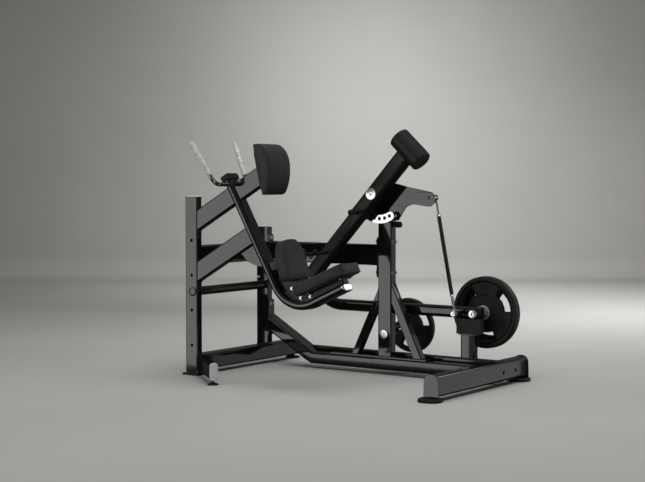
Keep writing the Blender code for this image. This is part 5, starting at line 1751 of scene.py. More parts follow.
def soften(name, voxel, rounding, shrink, cap, held, pressure=4.0):
    """The pad's solid, remeshed and blown up like foam under a stitched cover, flat where held says it rests."""
    source = BUILT.pop(name)
    source.modifiers.clear()
    remesh = source.modifiers.new("voxels", "REMESH")
    remesh.mode = "VOXEL"
    remesh.voxel_size = voxel
    rounder = source.modifiers.new("round", "SMOOTH")
    rounder.factor = 0.5
    rounder.iterations = rounding
    mesh = evaluated_mesh(source)
    bpy.data.objects.remove(source)
    mesh.materials.clear()
    mesh.materials.append(LEATHER)
    pad = bpy.data.objects.new(name + "_cushion", mesh)
    scene.collection.objects.link(pad)
    fixed = np.array([held(Vector(p)) for p in points_of(mesh)])
    start = points_of(mesh) - points_of(mesh, "normal") * shrink * (~fixed[:, None])
    mesh.vertices.foreach_set("co", start.astype(np.float32).ravel())
    mesh.update()
    group = pad.vertex_groups.new(name="held")
    group.add([int(i) for i in np.nonzero(fixed)[0]], 1.0, "REPLACE")
    cloth = pad.modifiers.new("cover", "CLOTH")
    settings = cloth.settings
    settings.quality = 6
    settings.mass = 0.12
    settings.tension_stiffness = settings.compression_stiffness = 14
    settings.shear_stiffness = 6
    settings.bending_stiffness = 1.2
    settings.use_pressure = True
    settings.uniform_pressure_force = pressure
    settings.effector_weights.gravity = 0
    settings.vertex_group_mass = "held"
    cloth.collision_settings.use_collision = False
    cloth.point_cache.frame_start = 1
    cloth.point_cache.frame_end = 20
    for step in range(1, 21):
        scene.frame_set(step)
    blown = points_of(evaluated_mesh(pad))
    pad.modifiers.clear()
    scene.frame_set(1)
    facing = points_of(mesh, "normal")
    swell = np.clip(((blown - start) * facing).sum(axis=1), -0.001, cap)
    pairs = np.empty(len(mesh.edges) * 2, dtype=np.int32)
    mesh.edges.foreach_get("vertices", pairs)
    pairs = pairs.reshape(-1, 2)
    touching = np.bincount(pairs.ravel(), minlength=len(swell))
    for _ in range(40):
        total = np.bincount(pairs[:, 0], swell[pairs[:, 1]], len(swell)) + np.bincount(pairs[:, 1], swell[pairs[:, 0]], len(swell))
        swell = np.where(fixed, 0.0, 0.4 * swell + 0.6 * total / np.maximum(touching, 1))
    shift = facing * swell[:, None]
    mesh.vertices.foreach_set("co", (start + shift).astype(np.float32).ravel())
    mesh.update()
    finer = pad.modifiers.new("finer", "SUBSURF")
    finer.levels = finer.render_levels = 1
    pad.data = evaluated_mesh(pad)
    pad.modifiers.clear()
    pad.data.shade_smooth()
    return pad


def seam(pad, name, path, depth=0.0011, width=0.0024, stitch=0.0062):
    """A sewn seam: a soft furrow along a closed path on the pad, with a thread sunk in it."""
    mesh = pad.data
    tree = BVHTree.FromPolygons([v.co for v in mesh.vertices], [p.vertices for p in mesh.polygons])
    line = []
    for point in path:
        place, normal, _, _ = tree.find_nearest(point)
        line.append((place, normal))
    dense = []
    for (a, n), (b, m) in zip(line, line[1:] + line[:1]):
        parts = max(1, int((b - a).length / 0.0012))
        for k in range(parts):
            dense.append((a.lerp(b, k / parts), n.lerp(m, k / parts).normalized()))
    coords = points_of(mesh)
    normals = points_of(mesh, "normal")
    dip = np.zeros(len(coords))
    route = np.array([p for p, _ in dense])
    low, high = route.min(0) - 0.01, route.max(0) + 0.01
    near = np.nonzero(((coords > low) & (coords < high)).all(1))[0]
    for part in np.array_split(near, max(1, len(near) // 2000)):
        gap = np.full(len(part), 1e9)
        for piece in np.array_split(route, max(1, len(route) // 400)):
            gap = np.minimum(gap, np.linalg.norm(coords[part][:, None, :] - piece[None, :, :], axis=2).min(1))
        dip[part] = depth * np.exp(-((gap / width) ** 2))
    mesh.vertices.foreach_set("co", (coords - normals * dip[:, None]).astype(np.float32).ravel())
    mesh.update()
    thread = bmesh.new()
    total, marks, travelled = 0.0, [], 0.0
    for (a, n), (b, _) in zip(dense, dense[1:] + dense[:1]):
        length = (b - a).length
        if travelled <= 0 and length > 1e-7:
            marks.append((a, n, (b - a).normalized()))
            travelled += stitch
        travelled -= length
    for place, normal, along in marks:
        across = normal.cross(along).normalized()
        if across.length < 0.5:
            continue
        lift = along.cross(across).normalized()
        lift = lift if lift.dot(normal) > 0 else -lift
        rings = []
        for reach, radius, sink in ((-0.0022, 0.0, 0.0016), (-0.0019, 0.00042, 0.0012), (-0.0010, 0.00055, 0.00085), (0.0010, 0.00055, 0.00085), (0.0019, 0.00042, 0.0012), (0.0022, 0.0, 0.0016)):
            centre = place + along * reach - lift * sink
            if radius == 0.0:
                rings.append([thread.verts.new(centre)])
            else:
                rings.append([thread.verts.new(centre + (across * math.cos(t) + lift * math.sin(t)) * radius) for t in [2 * math.pi * i / 8 for i in range(8)]])
        for first, second in zip(rings, rings[1:]):
            for k in range(8):
                m = (k + 1) % 8
                if len(first) == 1:
                    thread.faces.new((first[0], second[m], second[k]))
                elif len(second) == 1:
                    thread.faces.new((first[k], first[m], second[0]))
                else:
                    thread.faces.new((first[k], first[m], second[m], second[k]))
    sewn = new_object(name, thread, THREAD)
    BUILT.pop(name)
    return sewn


def drawn_in(points, inset):
    """A closed (a, b) outline moved inwards."""
    count = len(points)
    area = sum(points[i][0] * points[(i + 1) % count][1] - points[(i + 1) % count][0] * points[i][1] for i in range(count))
    turn = 1.0 if area > 0 else -1.0
    moved = []
    for i in range(count):
        before, after = Vector(points[i - 1]), Vector(points[(i + 1) % count])
        along = (after - before).normalized()
        moved.append((points[i][0] - along.y * inset * turn, points[i][1] + along.x * inset * turn))
    return moved


def finish_pad(pad, node):
    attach(pad, node_body[node])
    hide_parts(node)


chest_plane = at(CHEST_BACK[0], 0, CHEST_BACK[1])
chest_cushion = soften("chest_pad", 0.0045, 14, 0.0035, 0.0060, lambda p: (p - chest_plane).dot(chest_out) < 0.0035)
side_path = [p for p in chest_profile()[2:]]
side_path = drawn_in(side_path + [(CHEST_LOW, 0.002), (CHEST_HIGH, 0.002)], 0.0085)[1:-3]
chest_threads = []
for tag, y in (("near", CHEST_Y - CHEST_WIDTH / 2), ("far", CHEST_Y + CHEST_WIDTH / 2)):
    spots = [at(CHEST_BACK[0], y, CHEST_BACK[1]) + chest_up * h + chest_out * t for h, t in side_path]
    chest_threads.append(seam(chest_cushion, "chest_seam_" + tag, spots))
finish_pad(chest_cushion, "chest_pad")

thigh_cushion = soften("thigh_pad", 0.0045, 12, 0.0040, 0.0070, lambda p: (p - thigh_back).dot(thigh_out) < 0.0035)
front_path = drawn_in(thigh_outline, 0.0075)
thigh_threads = [
    seam(thigh_cushion, "thigh_seam_front", [thigh_back + thigh_out * THIGH_T + Vector(Y_AXIS) * a + thigh_up * b for a, b in front_path]),
    seam(thigh_cushion, "thigh_seam_back", [thigh_back + thigh_out * 0.010 + Vector(Y_AXIS) * a + thigh_up * b for a, b in thigh_outline]),
]
finish_pad(thigh_cushion, "thigh_pad")

knee_under = knee_mid - knee_up * (KNEE_T / 2)
knee_cushion = soften("knee_pad", 0.0045, 12, 0.0040, 0.0070, lambda p: (p - knee_under).dot(knee_up) < 0.0035)
top_path = rect_profile(KNEE_LENGTH - 0.016, KNEE_Y[1] - KNEE_Y[0] - 0.016, 0.024, 4)
base_path = rect_profile(KNEE_LENGTH, KNEE_Y[1] - KNEE_Y[0], 0.028, 4)
knee_threads = [
    seam(knee_cushion, "knee_seam_top", [knee_mid + knee_up * (KNEE_T / 2) + knee_dir * a + Vector(Y_AXIS) * b for a, b in top_path]),
    seam(knee_cushion, "knee_seam_base", [knee_under + knee_up * 0.010 + knee_dir * a + Vector(Y_AXIS) * b for a, b in base_path]),
]
finish_pad(knee_cushion, "knee_pad")
for thread in chest_threads + thigh_threads + knee_threads:
    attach(thread, "frame")

# the foam roller: a skin that is nowhere quite even
roller = BUILT.pop("foot_roller")
roller.name = "foot_roller_foam"
coords = points_of(roller.data)
normals = points_of(roller.data, "normal")
wave = np.array([noise.noise(Vector(p) * 38.0) * 0.0007 + noise.noise(Vector(p) * 120.0) * 0.00025 for p in coords])
roller.data.vertices.foreach_set("co", (coords + normals * wave[:, None]).astype(np.float32).ravel())
roller.data.update()
finish_pad(roller, "foot_roller")


# ---------------------------------------------------------------- handlebar grips
def knurled(name, start, end, radius, teeth=9, height=0.0026):
    """A sleeve with a diamond knurl between two plain collars, closed by a domed plug at its end."""
    axis = (end - start).normalized()
    length = (end - start).length
    side = axis.orthogonal().normalized()
    other = axis.cross(side)
    around = teeth * 4
    pitch = 2 * math.pi * radius / teeth
    bm = bmesh.new()

    def tooth(x):
        return 1 - abs(2 * (x - math.floor(x)) - 1)

    stations = [(0.0, 0.0137, 0), (0.0004, radius - 0.0006, 0), (0.0012, radius, 0), (0.0068, radius, 0), (0.0074, radius - 0.0008, 0)]
    steps = int((length - 0.016) / (pitch / 4))
    for i in range(steps + 1):
        along = 0.0080 + (length - 0.016) * i / steps
        stations.append((along, radius - 0.0004, min(1.0, i / 3, (steps - i) / 3)))
    stations += [(length - 0.0074, radius - 0.0008, 0), (length - 0.0068, radius, 0), (length - 0.0010, radius, 0), (length, radius - 0.0008, 0)]
    for k in range(1, 7):
        turn = math.radians(90 * k / 6)
        stations.append((length + 0.0045 * math.sin(turn), max(0.0, (radius - 0.0014) * math.cos(turn)), 0))
    rings = []
    for along, reach, rough in stations:
        centre = start + axis * along
        if reach < 1e-5:
            rings.append([bm.verts.new(centre)])
            continue
        ring = []
        for k in range(around):
            turn = 2 * math.pi * k / around
            u = teeth * turn / (2 * math.pi)
            lift = height * rough * tooth(u + along / pitch) * tooth(u - along / pitch)
            ring.append(bm.verts.new(centre + (side * math.cos(turn) + other * math.sin(turn)) * (reach + lift)))
        rings.append(ring)
    for first, second in zip(rings, rings[1:]):
        for k in range(around):
            m = (k + 1) % around
            if len(second) == 1:
                bm.faces.new((first[k], first[m], second[0]))
            else:
                bm.faces.new((first[k], first[m], second[m], second[k]))
    bm.faces.new(rings[0])
    made = new_object(name, bm, GRIP_PAINTED_REFLECTION, 60.0)
    BUILT.pop(name)
    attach(made, "frame")
    return made


GRIP_R = 0.0158
for tag, low, tip in (("near", h_low_a, h_tip_a), ("far", h_low_b, h_tip_b)):
    way = (tip - low).normalized()
    knurled("grip_" + tag, low + way * 0.068, tip - way * 0.001, GRIP_R)


# ---------------------------------------------------------------- fasteners
def bolt_into(bm, place, axis, apothem=0.0085, washer=0.0125, head=0.0066):
    """A washer and a chamfered hexagon head."""
    turned_into(
        bm,
        [(0, 0), (washer, 0), (washer, 0.0014), (washer - 0.0006, 0.0020), (apothem * 1.04, 0.0020), (apothem, 0.0022, 1), (apothem, 0.0020 + head * 0.82, 1),
         (apothem * 0.97, 0.0020 + head), (apothem * 0.80, 0.0022 + head), (apothem * 0.55, 0.0018 + head), (0, 0.0018 + head)],
        place,
        axis,
        48,
    )


def nut_into(bm, place, axis, apothem=0.0085, washer=0.0125, stud=0.0050):
    """A washer, a hexagon nut and the stud's end."""
    turned_into(
        bm,
        [(0, 0), (washer, 0), (washer, 0.0014), (washer - 0.0006, 0.0020), (apothem * 1.02, 0.0020), (apothem, 0.0024, 1), (apothem, 0.0082, 1),
         (apothem * 0.96, 0.0094), (stud * 1.25, 0.0094), (stud * 1.05, 0.0088), (stud, 0.0094), (stud, 0.0122), (stud * 0.8, 0.0130), (0, 0.0130)],
        place,
        axis,
        48,
    )


def fasteners(name, body, kind, places, finish=ZINC, slot="satin_steel", **sizes):
    bm = bmesh.new()
    for place, axis in places:
        (nut_into if kind == "nut" else bolt_into)(bm, place, axis, **sizes)
    made = new_object(name, bm, finish, 30.0)
    BUILT.pop(name)
    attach(made, body)
    return made


X_BACK = (-1, 0, 0)
Y_BACK = (0, -1, 0)
spine_face = flange_x0 + PLATE_T
fasteners(
    "spine_flange_bolts",
    "frame",
    "bolt",
    [(at(spine_face, y, z), X_AXIS) for y in (0.3635, 0.3905) for z in (0.8640, 0.6600)],
    CHROME,
    "chrome",
)
fasteners(
    "rail_flange_bolts", "frame", "bolt", [(at(spine_face, y, z), X_AXIS) for y in (0.3635, 0.3945) for z in (0.4130, 0.2180)], CHROME, "chrome", washer=0.0115
)
fasteners(
    "main_column_bolts", "frame", "bolt", [(at(flange_x1 - PLATE_T, y, z), X_BACK) for y in (0.3600, 0.3960) for z in (0.8605, 0.6600)], CHROME, "chrome"
)
fasteners(
    "main_column_nuts", "frame", "nut", [(at(MAIN_X + MAIN_W / 2, y, z), X_AXIS) for y in (0.3600, 0.3960) for z in (0.8605, 0.6600)]
)
fasteners("far_column_bolt", "frame", "bolt", [(at(-0.9600, SPINE_Y - TUBE_SHORT / 2, 0.5921), Y_BACK)], CHROME, "chrome", apothem=0.0065, washer=0.0105)
fasteners(
    "chest_board_bolts",
    "frame",
    "bolt",
    [
        (at(CHEST_BACK[0], CHEST_Y + y, CHEST_BACK[1]) - chest_out * (BOARD_T + GAP) + chest_up * z, -chest_out)
        for y in (-0.062, 0.062)
        for z in (-0.085, 0.085)
    ],
    apothem=0.0065,
    washer=0.0105,
)
fasteners(
    "thigh_bracket_bolts",
    "frame",
    "bolt",
    [(thigh_back - thigh_out * (0.010 + GAP) + Vector(Y_AXIS) * y + thigh_up * z, -thigh_out) for y in (-0.058, 0.058) for z in (-0.062, 0.062)],
    apothem=0.0065,
    washer=0.0105,
)
knee_low = knee_mid - knee_up * (KNEE_T / 2 + 0.008 + GAP)
fasteners(
    "knee_bracket_bolts",
    "frame",
    "bolt",
    [(knee_low + knee_dir * reach + Vector(Y_AXIS) * y, -knee_up) for reach in (-0.128, 0.128) for y in (-0.055, 0.055)],
    CHROME,
    "chrome",
    apothem=0.0065,
    washer=0.0105,
)
tube_end = bmesh.new()
turned_into(
    tube_end,
    eased([(0, 0), (0.0275, 0), (0.0280, 0.0040), (0.0262, 0.0064), (0.0180, 0.0072), (0, 0.0074)], 0.0012, 3),
    at(-0.9185, USER_Y - TUBE_SHORT / 2, 0.5405),
    Y_BACK,
    72,
)
tube_end = new_object("cross_tube_end_cap", tube_end, BLACK)
BUILT.pop("cross_tube_end_cap")
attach(tube_end, "frame")
# the knurled collar ring against the large plate's hub, and the web under the gooseneck
# these chrome caps take the pale finish with painted reflection
for capped in ("pivot_shaft", "load_horn", "storage_horn_cap", "tie_rod_bolts"):
    BUILT[capped].data.materials[0] = ROUND_CAP_PAINTED_REFLECTION
collar = bmesh.new()
for i in range(34):
    turn = 2 * math.pi * i / 34
    place = at(HORN[0] + 0.0428 * math.cos(turn), horn_y0 + hub_y + 0.0520, HORN[1] + 0.0428 * math.sin(turn))
    turned_into(collar, eased([(0, 0), (0.0030, 0), (0.0030, 0.0130), (0, 0.0130)], 0.0012, 3), place, Y_AXIS, 16)
# the collar's pale finish is painted reflection
collar = new_object("horn_collar_ring", collar, BRUSHED_CAP_PAINTED_REFLECTION)
BUILT.pop("horn_collar_ring")
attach(collar, node_body["load_horn"])
pad_web = xz_slab(
    "pad_web", rounded_outline([(-0.2245, 0.6579), (-0.0868, 0.6575), (0.0706, 0.5978), (0.0706, 0.5615), (-0.0341, 0.5108), (-0.1022, 0.5225), (-0.1708, 0.565), (-0.2323, 0.6206)], [0.004] * 8, 3), J_Y - 0.006, J_Y + 0.006, ARM_BLACK
)
BUILT.pop("pad_web")
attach(pad_web, node_body["knee_pad_bracket"])
fasteners(
    "pad_web_bolts", "frame", "bolt", [(at(x, J_Y - 0.006, z), Y_BACK) for x, z in [(-0.1395, 0.5945), (-0.0712, 0.5398), (0.0004, 0.5525)]], CHROME, "chrome", apothem=0.0065, washer=0.0105
)
web_outline = rounded_outline(
    [(0.040, 1.116), (-0.030, 1.068), (-0.034, 1.018), (0.030, 0.994), (0.100, 0.994), (0.158, 1.016)], [0.004, 0.02, 0.02, 0.02, 0.01, 0.004], 5
)
goose_web = xz_slab("goose_web", web_outline, GOOSE_Y[0] + 0.0012, GOOSE_Y[1] - 0.0012, BLACK)
BUILT.pop("goose_web")
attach(goose_web, node_body["gooseneck_plate"])
fasteners(
    "lever_pin_nut", "frame", "nut", [(at(lp[0], LEVER_Y + 0.0370, lp[1]), Y_AXIS)], apothem=0.0115, washer=0.0205, stud=0.0085
)


# ---------------------------------------------------------------- weld beads
def hull_loop(points, origin, normal):
    """The convex outline of points that lie on a plane, in order."""
    normal = Vector(normal).normalized()
    u = normal.orthogonal().normalized()
    v = normal.cross(u)
    flat = sorted({(round((p - origin).dot(u), 6), round((p - origin).dot(v), 6)) for p in points})

    def half(seq):
        out = []
        for p in seq:
            while len(out) >= 2 and (out[-1][0] - out[-2][0]) * (p[1] - out[-2][1]) - (out[-1][1] - out[-2][1]) * (p[0] - out[-2][0]) <= 1e-12:
                out.pop()
            out.append(p)
        return out[:-1]

    hull = half(flat) + half(flat[::-1])
    return [origin + u * a + v * b for a, b in hull]


def end_loop(node, origin, normal):
    normal = Vector(normal).normalized()
    found = [v.co.copy() for v in frame["nodes"][node].data.vertices if abs((v.co - origin).dot(normal)) < 0.0007]
    return hull_loop(found, origin, normal)


def bead(name, loop, normal, body="frame", radius=0.0028, closed=True, lift=0.0):
    """A ripple of weld metal along a loop; normal points to the side the joined tube stands on."""
    if len(loop) < 3:
        print("no loop for", name)
        return None
    normal = Vector(normal).normalized()
    middle = sum(loop, Vector()) / len(loop)
    ring_points = loop + ([loop[0]] if closed else [])
    stations = []
    run = 0.0
    for a, b in zip(ring_points, ring_points[1:]):
        span = (b - a).length
        parts = max(1, round(span / 0.0009))
        for k in range(parts):
            stations.append((a.lerp(b, k / parts), run + span * k / parts))
        run += span
    count = len(stations)
    ripples = max(1, round(run / 0.0034))
    bm = bmesh.new()
    rings = []
    for i, (place, distance) in enumerate(stations):
        ahead = stations[(i + 2) % count][0] if closed or i < count - 2 else stations[-1][0]
        behind = stations[(i - 2) % count][0] if closed or i > 1 else stations[0][0]
        along = (ahead - behind).normalized()
        out = along.cross(normal).normalized()
        if out.dot(place - middle) < 0:
            out = -out
        phase = distance / run * ripples
        saw = phase - math.floor(phase)
        wobble = noise.noise(Vector(place) * 60.0) * 0.12
        size = radius * (0.86 + 0.20 * math.sqrt(max(0.0, 1 - (2 * saw - 1) ** 2)) + wobble)
        centre = place + out * (size * 0.10) + normal * (size * 0.10 + lift)
        rings.append([bm.verts.new(centre + (out * math.cos(t) + normal * math.sin(t)) * size) for t in [2 * math.pi * k / 8 for k in range(8)]])
    pairs = list(zip(rings, rings[1:])) + ([(rings[-1], rings[0])] if closed else [])
    for first, second in pairs:
        for k in range(8):
            m = (k + 1) % 8
            bm.faces.new((first[k], first[m], second[m], second[k]))
    if not closed:
        bm.faces.new(rings[0])
        bm.faces.new(rings[-1])
    made = new_object(name, bm, WELD_BLACK, 80.0)
    BUILT.pop(name)
    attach(made, body)
    return made


column_face = COLUMN_X + TUBE_LONG / 2 + GAP
outer_point = at(J_TOP[0], USER_Y, J_TOP[1]) + j_out * (J_DEPTH / 2 + GAP)
inner_point = at(J_TOP[0], USER_Y, J_TOP[1]) - j_out * (J_DEPTH / 2 + GAP)
bead("weld_upper_strut_column", end_loop("upper_strut", at(column_face, 0, 0), X_AXIS), X_AXIS)
bead("weld_lower_strut_column", end_loop("lower_strut", at(column_face, 0, 0), X_AXIS), X_AXIS)
bead("weld_outrigger_column", end_loop("outrigger_leg", at(column_face, 0, 0), X_AXIS), X_AXIS)
bead("weld_upper_strut_seat_tube", end_loop("upper_strut", outer_point, j_out), j_out, radius=0.0024)
bead("weld_chest_post_seat_tube", end_loop("chest_pad_post", inner_point, j_out), -j_out, radius=0.0024)
bead("weld_chest_post_board", end_loop("chest_pad_post", board_back, chest_out), -chest_out, radius=0.0024)
bead("weld_cross_beam_near", end_loop("upper_cross_beam", at(0, cross_start, 0), Y_AXIS), Y_AXIS)
bead("weld_cross_beam_far", end_loop("upper_cross_beam", at(0, cross_end, 0), Y_AXIS), Y_BACK)
bead("weld_cross_tube_near", end_loop("mid_cross_tube", at(0, cross_start, 0), Y_AXIS), Y_AXIS)
bead("weld_cross_tube_far", end_loop("mid_cross_tube", at(0, cross_end, 0), Y_AXIS), Y_BACK)
bead("weld_front_beam", end_loop("front_beam", at(0, cross_start, 0), Y_AXIS), Y_AXIS)
bead("weld_far_column", end_loop("far_column", at(0, 0, FRONT_BEAM_Z[1] + GAP), Z_AXIS), Z_AXIS)
bead("weld_main_column", end_loop("main_column", at(0, 0, plate_top + GAP), Z_AXIS), Z_AXIS)
bead("weld_brace_front_foot", end_loop("a_strut_front", at(0, 0, plate_top + GAP), Z_AXIS), Z_AXIS, radius=0.0024)
bead("weld_brace_rear_foot", end_loop("a_strut_rear", at(0, 0, plate_top + GAP), Z_AXIS), Z_AXIS, radius=0.0024)
bead("weld_brace_front_top", end_loop("a_strut_front", at(MAIN_X - MAIN_W / 2 - GAP, 0, 0), X_AXIS), X_BACK, radius=0.0024)
bead("weld_brace_rear_top", end_loop("a_strut_rear", at(MAIN_X + MAIN_W / 2 + GAP, 0, 0), X_AXIS), X_AXIS, radius=0.0024)
bead("weld_rest_post", end_loop("rest_post", at(0, 0, post_base), Z_AXIS), Z_AXIS)
rear_face = REAR_BEAM_X - REAR_BEAM_W / 2 - GAP
bead("weld_rail_near_rear", end_loop("base_rail_near", at(rear_face, 0, 0), X_AXIS), X_BACK)
bead("weld_rail_far_rear", end_loop("base_rail_far", at(rear_face, 0, 0), X_AXIS), X_BACK)
bead("weld_rail_near_flange", end_loop("base_rail_near", at(flange_x0 + PLATE_T + GAP, 0, 0), X_AXIS), X_AXIS)
bead("weld_rear_plate_near", end_loop("rear_beam", at(0, REAR_BEAM_Y[0], 0), Y_AXIS), Y_AXIS, radius=0.0022)
bead("weld_rear_plate_far", end_loop("rear_beam", at(0, REAR_BEAM_Y[1], 0), Y_AXIS), Y_BACK, radius=0.0022)
spine_ring = [(a, b) for a, b in rect_profile(TUBE_SHORT, 0.135)]
bead("weld_spine_front", [at(spine_face, SPINE_Y + a, 0.7725 + b) for a, b in spine_ring], X_AXIS)
bead("weld_spine_rear", [at(flange_x1 - PLATE_T, SPINE_Y + a, 0.7725 + b) for a, b in spine_ring], X_BACK)
bead("weld_bearing_housing", [at(0.074 + a, 0.378 + b, MAIN_TOP + 0.0005) for a, b in rect_profile(0.088, 0.052, 0.004)], Z_AXIS, radius=0.0022)
base_ring = rect_profile(TUBE_LONG, TUBE_SHORT)
bead("weld_near_column_base", [at(COLUMN_X + a, USER_Y + b, 0.012) for a, b in base_ring], Z_AXIS)
# ---------------------------------------------------------------- edges, bodies and hidden imported parts
EDGE = {
    "near_column": 0.0010, "near_column_cap": 0.0016, "j_tube_top_cap": 0.0045, "chest_pad_board": 0.0022,
    "a_frame_plate": 0.0016, "rest_block": 0.0024, "rest_post": 0.0010, "gooseneck_plate": 0.0014, "sector_plate": 0.0012,
    "bearing_housing": 0.0012, "lever_bracket": 0.0012, "rear_beam": 0.0010, "rear_beam_plate_near": 0.0016,
    "rear_beam_plate_far": 0.0016, "rail_flange": 0.0016, "spine_beam": 0.0014, "arm_sleeve": 0.0010, "arm_extension": 0.0010,
    "knee_pad_bracket": 0.0012, "thigh_pad_bracket": 0.0012, "front_beam": 0.0018, "far_column": 0.0018, "main_column": 0.0018,
    "weight_lever": 0.0014, "lower_strut": 0.0010, "storage_horn_cap": 0, "pivot_shaft": 0, "counterweight": 0, "plate_small": 0,
    "plate_large": 0, "plate_second": 0, "levelling_foot": 0, "rear_foot_near": 0, "rear_foot_far": 0, "front_beam_foot": 0, "stop_bumper": 0,
    "storage_horn": 0, "load_horn": 0, "pull_pin": 0, "tie_rod": 0, "tie_rod_ends": 0, "tie_rod_bolts": 0, "j_tube_end_cap": 0,
    "outrigger_cap": 0, "handlebar": 0.0020,
}
BUILT["chest_pad_board"].data.materials[0] = PLY
BUILT["pull_pin"].data.materials[0] = RUBBER
BUILT["rest_block"].data.materials[0] = BLOCK
# the horn's pale finish is painted reflection
BUILT["load_horn"].data.materials[0] = ROUND_CAP_PAINTED_REFLECTION
BUILT["storage_horn"].data.materials[0] = CHROME
for arm_piece in ("arm_sleeve", "arm_extension", "knee_pad_bracket", "thigh_pad_bracket"):
    BUILT[arm_piece].data.materials[0] = ARM_BLACK
# the column cap's pale matte finish is painted reflection
BUILT["near_column_cap"].data.materials[0] = END_CAP_PAINTED_REFLECTION
for node, obj in BUILT.items():
    width = EDGE.get(node, 0.0010)
    if width:
        bevel = obj.modifiers.new("edges", "BEVEL")
        bevel.limit_method = "ANGLE"
        bevel.angle_limit = math.radians(40)
        bevel.width = width
        bevel.segments = 3
        bevel.use_clamp_overlap = False
    if not any(m.type == "SUBSURF" for m in obj.modifiers):
        weighted = obj.modifiers.new("flats", "WEIGHTED_NORMAL")
        weighted.keep_sharp = True
    real = node if node in node_body else "tie_rod"
    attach(obj, node_body[real])
    if node in node_slot:
        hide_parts(node)

# ---------------------------------------------------------------- camera
camera = bpy.data.objects.new("camera", bpy.data.cameras.new("camera"))
scene.collection.objects.link(camera)
camera.location = at(5.062, -7.309, 1.28)
camera.rotation_euler = (math.radians(87.4), 0, math.radians(35.6))
camera.data.sensor_width = 36.0
camera.data.lens = 1419.0 / 645.0 * 36.0
camera.data.clip_end = 200.0
scene.camera = camera

# ---------------------------------------------------------------- floor and backdrop
look = Vector((-math.sin(math.radians(35.6)), math.cos(math.radians(35.6)), 0))
across = Vector((look.y, -look.x, 0))
WALL_AT = 8.95
COVE = 0.30


def stage_mesh(name, rows, finish):
    """A strip swept across the view: rows are (distance along the view from the origin, height)."""
    bm = bmesh.new()
    columns = [-30 + 2.5 * i for i in range(25)]
    grid = [[bm.verts.new(look * d + across * c + Vector((0, 0, h))) for c in columns] for d, h in rows]
    for first, second in zip(grid, grid[1:]):
        for k in range(len(columns) - 1):
            bm.faces.new((first[k], first[k + 1], second[k + 1], second[k]))
    mesh = bpy.data.meshes.new(name)
    bm.to_mesh(mesh)
    bm.free()
    mesh.materials.append(finish)
    mesh.shade_smooth()
    obj = bpy.data.objects.new(name, mesh)
    scene.collection.objects.link(obj)
    return obj


def stage_finish(name, base, rough):
    made = Finish(name, base, rough, Specular_IOR_Level=0.0)
    made.colour(made.noise(0.35, 5.0, 0.55), *shades(base, (0.3, 0.94), (0.7, 1.05)))
    made.bump(made.noise(45.0, 4.0), 0.002, 0.05)
    return made.material


floor_finish = stage_finish("pale_floor", (0.50, 0.50, 0.480), 0.55)
wall_finish = stage_finish("pale_wall", (0.50, 0.495, 0.470), 0.8)
floor_rows = [(-25 + 1.5 * i, 0.0) for i in range(22)]
floor_rows = [row for row in floor_rows if row[0] < WALL_AT - COVE - 0.5] + [(WALL_AT - COVE, 0.0)]
wall_rows = [(WALL_AT - COVE, 0.0)]
for i in range(1, 9):
    turn = math.radians(90 * i / 8)
    wall_rows.append((WALL_AT - COVE + COVE * math.sin(turn), COVE * (1 - math.cos(turn))))
wall_rows += [(WALL_AT, 2.0 + 2.0 * i) for i in range(6)]
floor = stage_mesh("floor", floor_rows, floor_finish)
wall = stage_mesh("backdrop", wall_rows, wall_finish)
for obj in (floor, wall):
    obj.visible_glossy = False

# ---------------------------------------------------------------- light
world = bpy.data.worlds.new("studio")
scene.world = world
world.use_nodes = True
sky = world.node_tree
background = sky.nodes["Background"]
direction = sky.nodes.new("ShaderNodeTexCoord")
split = sky.nodes.new("ShaderNodeSeparateXYZ")
ramp = sky.nodes.new("ShaderNodeValToRGB")
height = sky.nodes.new("ShaderNodeMapRange")
height.inputs["From Min"].default_value = -1.0
height.inputs["From Max"].default_value = 1.0
sky.links.new(direction.outputs["Generated"], split.inputs["Vector"])
sky.links.new(split.outputs["Z"], height.inputs["Value"])
sky.links.new(height.outputs["Result"], ramp.inputs["Fac"])
sky.links.new(ramp.outputs["Color"], background.inputs["Color"])
stops = ramp.color_ramp.elements
stops[0].position, stops[0].color = 0.0, (0.02, 0.02, 0.02, 1)
stops[1].position, stops[1].color = 1.0, (0.26, 0.26, 0.26, 1)
for position, level in ((0.48, 0.03), (0.53, 0.05), (0.68, 0.07), (0.85, 0.14)):
    stop = stops.new(position)
    stop.color = (level, level, level, 1)
background.inputs["Strength"].default_value = 1.0


def softbox(name, place, aim, wide, tall, radiance, diffuse=True, glossy=True):
    """A rectangular soft light that shows in reflections and not to the camera."""
    data = bpy.data.lights.new(name, "AREA")
    data.shape = "RECTANGLE"
    data.size, data.size_y = wide, tall
    data.energy = radiance * math.pi * wide * tall
    obj = bpy.data.objects.new(name, data)
    scene.collection.objects.link(obj)
    obj.location = place
    obj.rotation_euler = (Vector(aim) - Vector(place)).to_track_quat("-Z", "Y").to_euler()
    obj.visible_camera = False
    obj.visible_diffuse = diffuse
    obj.visible_glossy = glossy
    return obj


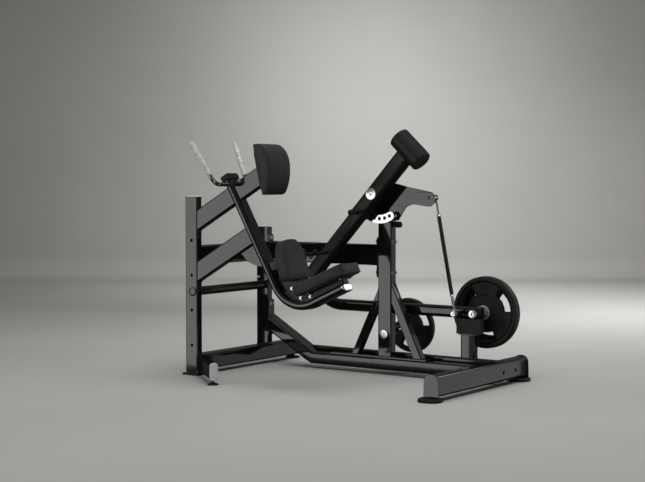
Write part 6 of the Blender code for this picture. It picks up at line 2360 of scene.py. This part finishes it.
softbox("front_panel", (-4.80, -6.00, 1.05), (-4.80, 0.0, 1.05), 3.70, 3.94, 1.62, diffuse=False)
softbox("front_corner", (0.33, -1.60, -0.08), (0.33, 0.0, -0.08), 0.46, 0.36, 1.62, diffuse=False)
softbox("side_card", (2.30, 1.98, 0.10), (1.30, 1.98, 0.10), 2.25, 2.8, 0.42, diffuse=False)
softbox("side_card_far", (2.30, 4.45, 0.30), (1.30, 4.45, 0.30), 1.9, 3.2, 0.26, diffuse=False)
softbox("cap_card", (1.60, 2.10, 1.75), (0.26, -0.36, 0.62), 1.1, 0.7, 1.3, diffuse=False)
softbox("right_strip", (4.20, -2.30, 1.00), (0.0, 0.0, 0.8), 0.7, 3.0, 1.3, diffuse=False)
softbox("key_soft", (-2.8, -7.4, 3.2), (0.3, 0.0, 0.6), 3.6, 3.2, 2.5, glossy=False)
softbox("overhead", (1.3, -0.9, 6.0), (1.3, -0.9, 0.0), 5.0, 5.0, 2.9, glossy=False)
wash = look * (WALL_AT - 3.0) + across * 0.55
softbox("wall_wash", wash + Vector((0, 0, 2.7)), look * WALL_AT + across * 0.45 + Vector((0, 0, 1.4)), 1.8, 1.2, 11.5, glossy=False)
glow = look * 2.9 + across * 0.9
softbox("floor_glow", glow + Vector((0, 0, 2.8)), glow, 3.2, 1.6, 1.9, glossy=False)
patch = look * 4.4 + across * 2.9
softbox("floor_patch", patch + Vector((0, 0, 2.6)), patch, 2.0, 2.2, 6.0, glossy=False)

# a black flag between the two columns keeps the front panel's reflection off the far side
flag_finish = Finish("black_flag", (0.0, 0.0, 0.0), 1.0)
flag_finish.colour(flag_finish.noise(3.0, 2.0), *shades((0.004, 0.004, 0.004), (0.3, 0.9), (0.7, 1.0)))
for flag_name, west, east, low_edge, high_edge, depth_at in (("flag_column", -1.72, -1.47, -0.20, 1.05, -0.42), ("flag_brace", -1.47, -0.45, 0.12, 0.40, -0.42), ("flag_spine", -0.45, 0.02, 0.60, 0.84, 0.30)):
    flag_mesh = bpy.data.meshes.new(flag_name)
    flag_mesh.from_pydata(
        [(west, depth_at, low_edge), (east, depth_at, low_edge), (east, depth_at, high_edge), (west, depth_at, high_edge)], [], [(0, 1, 2, 3)]
    )
    flag_mesh.materials.append(flag_finish.material)
    flag = bpy.data.objects.new(flag_name, flag_mesh)
    scene.collection.objects.link(flag)
    flag.visible_camera = flag.visible_diffuse = flag.visible_shadow = flag.visible_transmission = False

scene.view_settings.view_transform = "Standard"
scene.view_settings.look = "None"
scene.view_settings.exposure = 0.0
scene.view_settings.gamma = 1.0
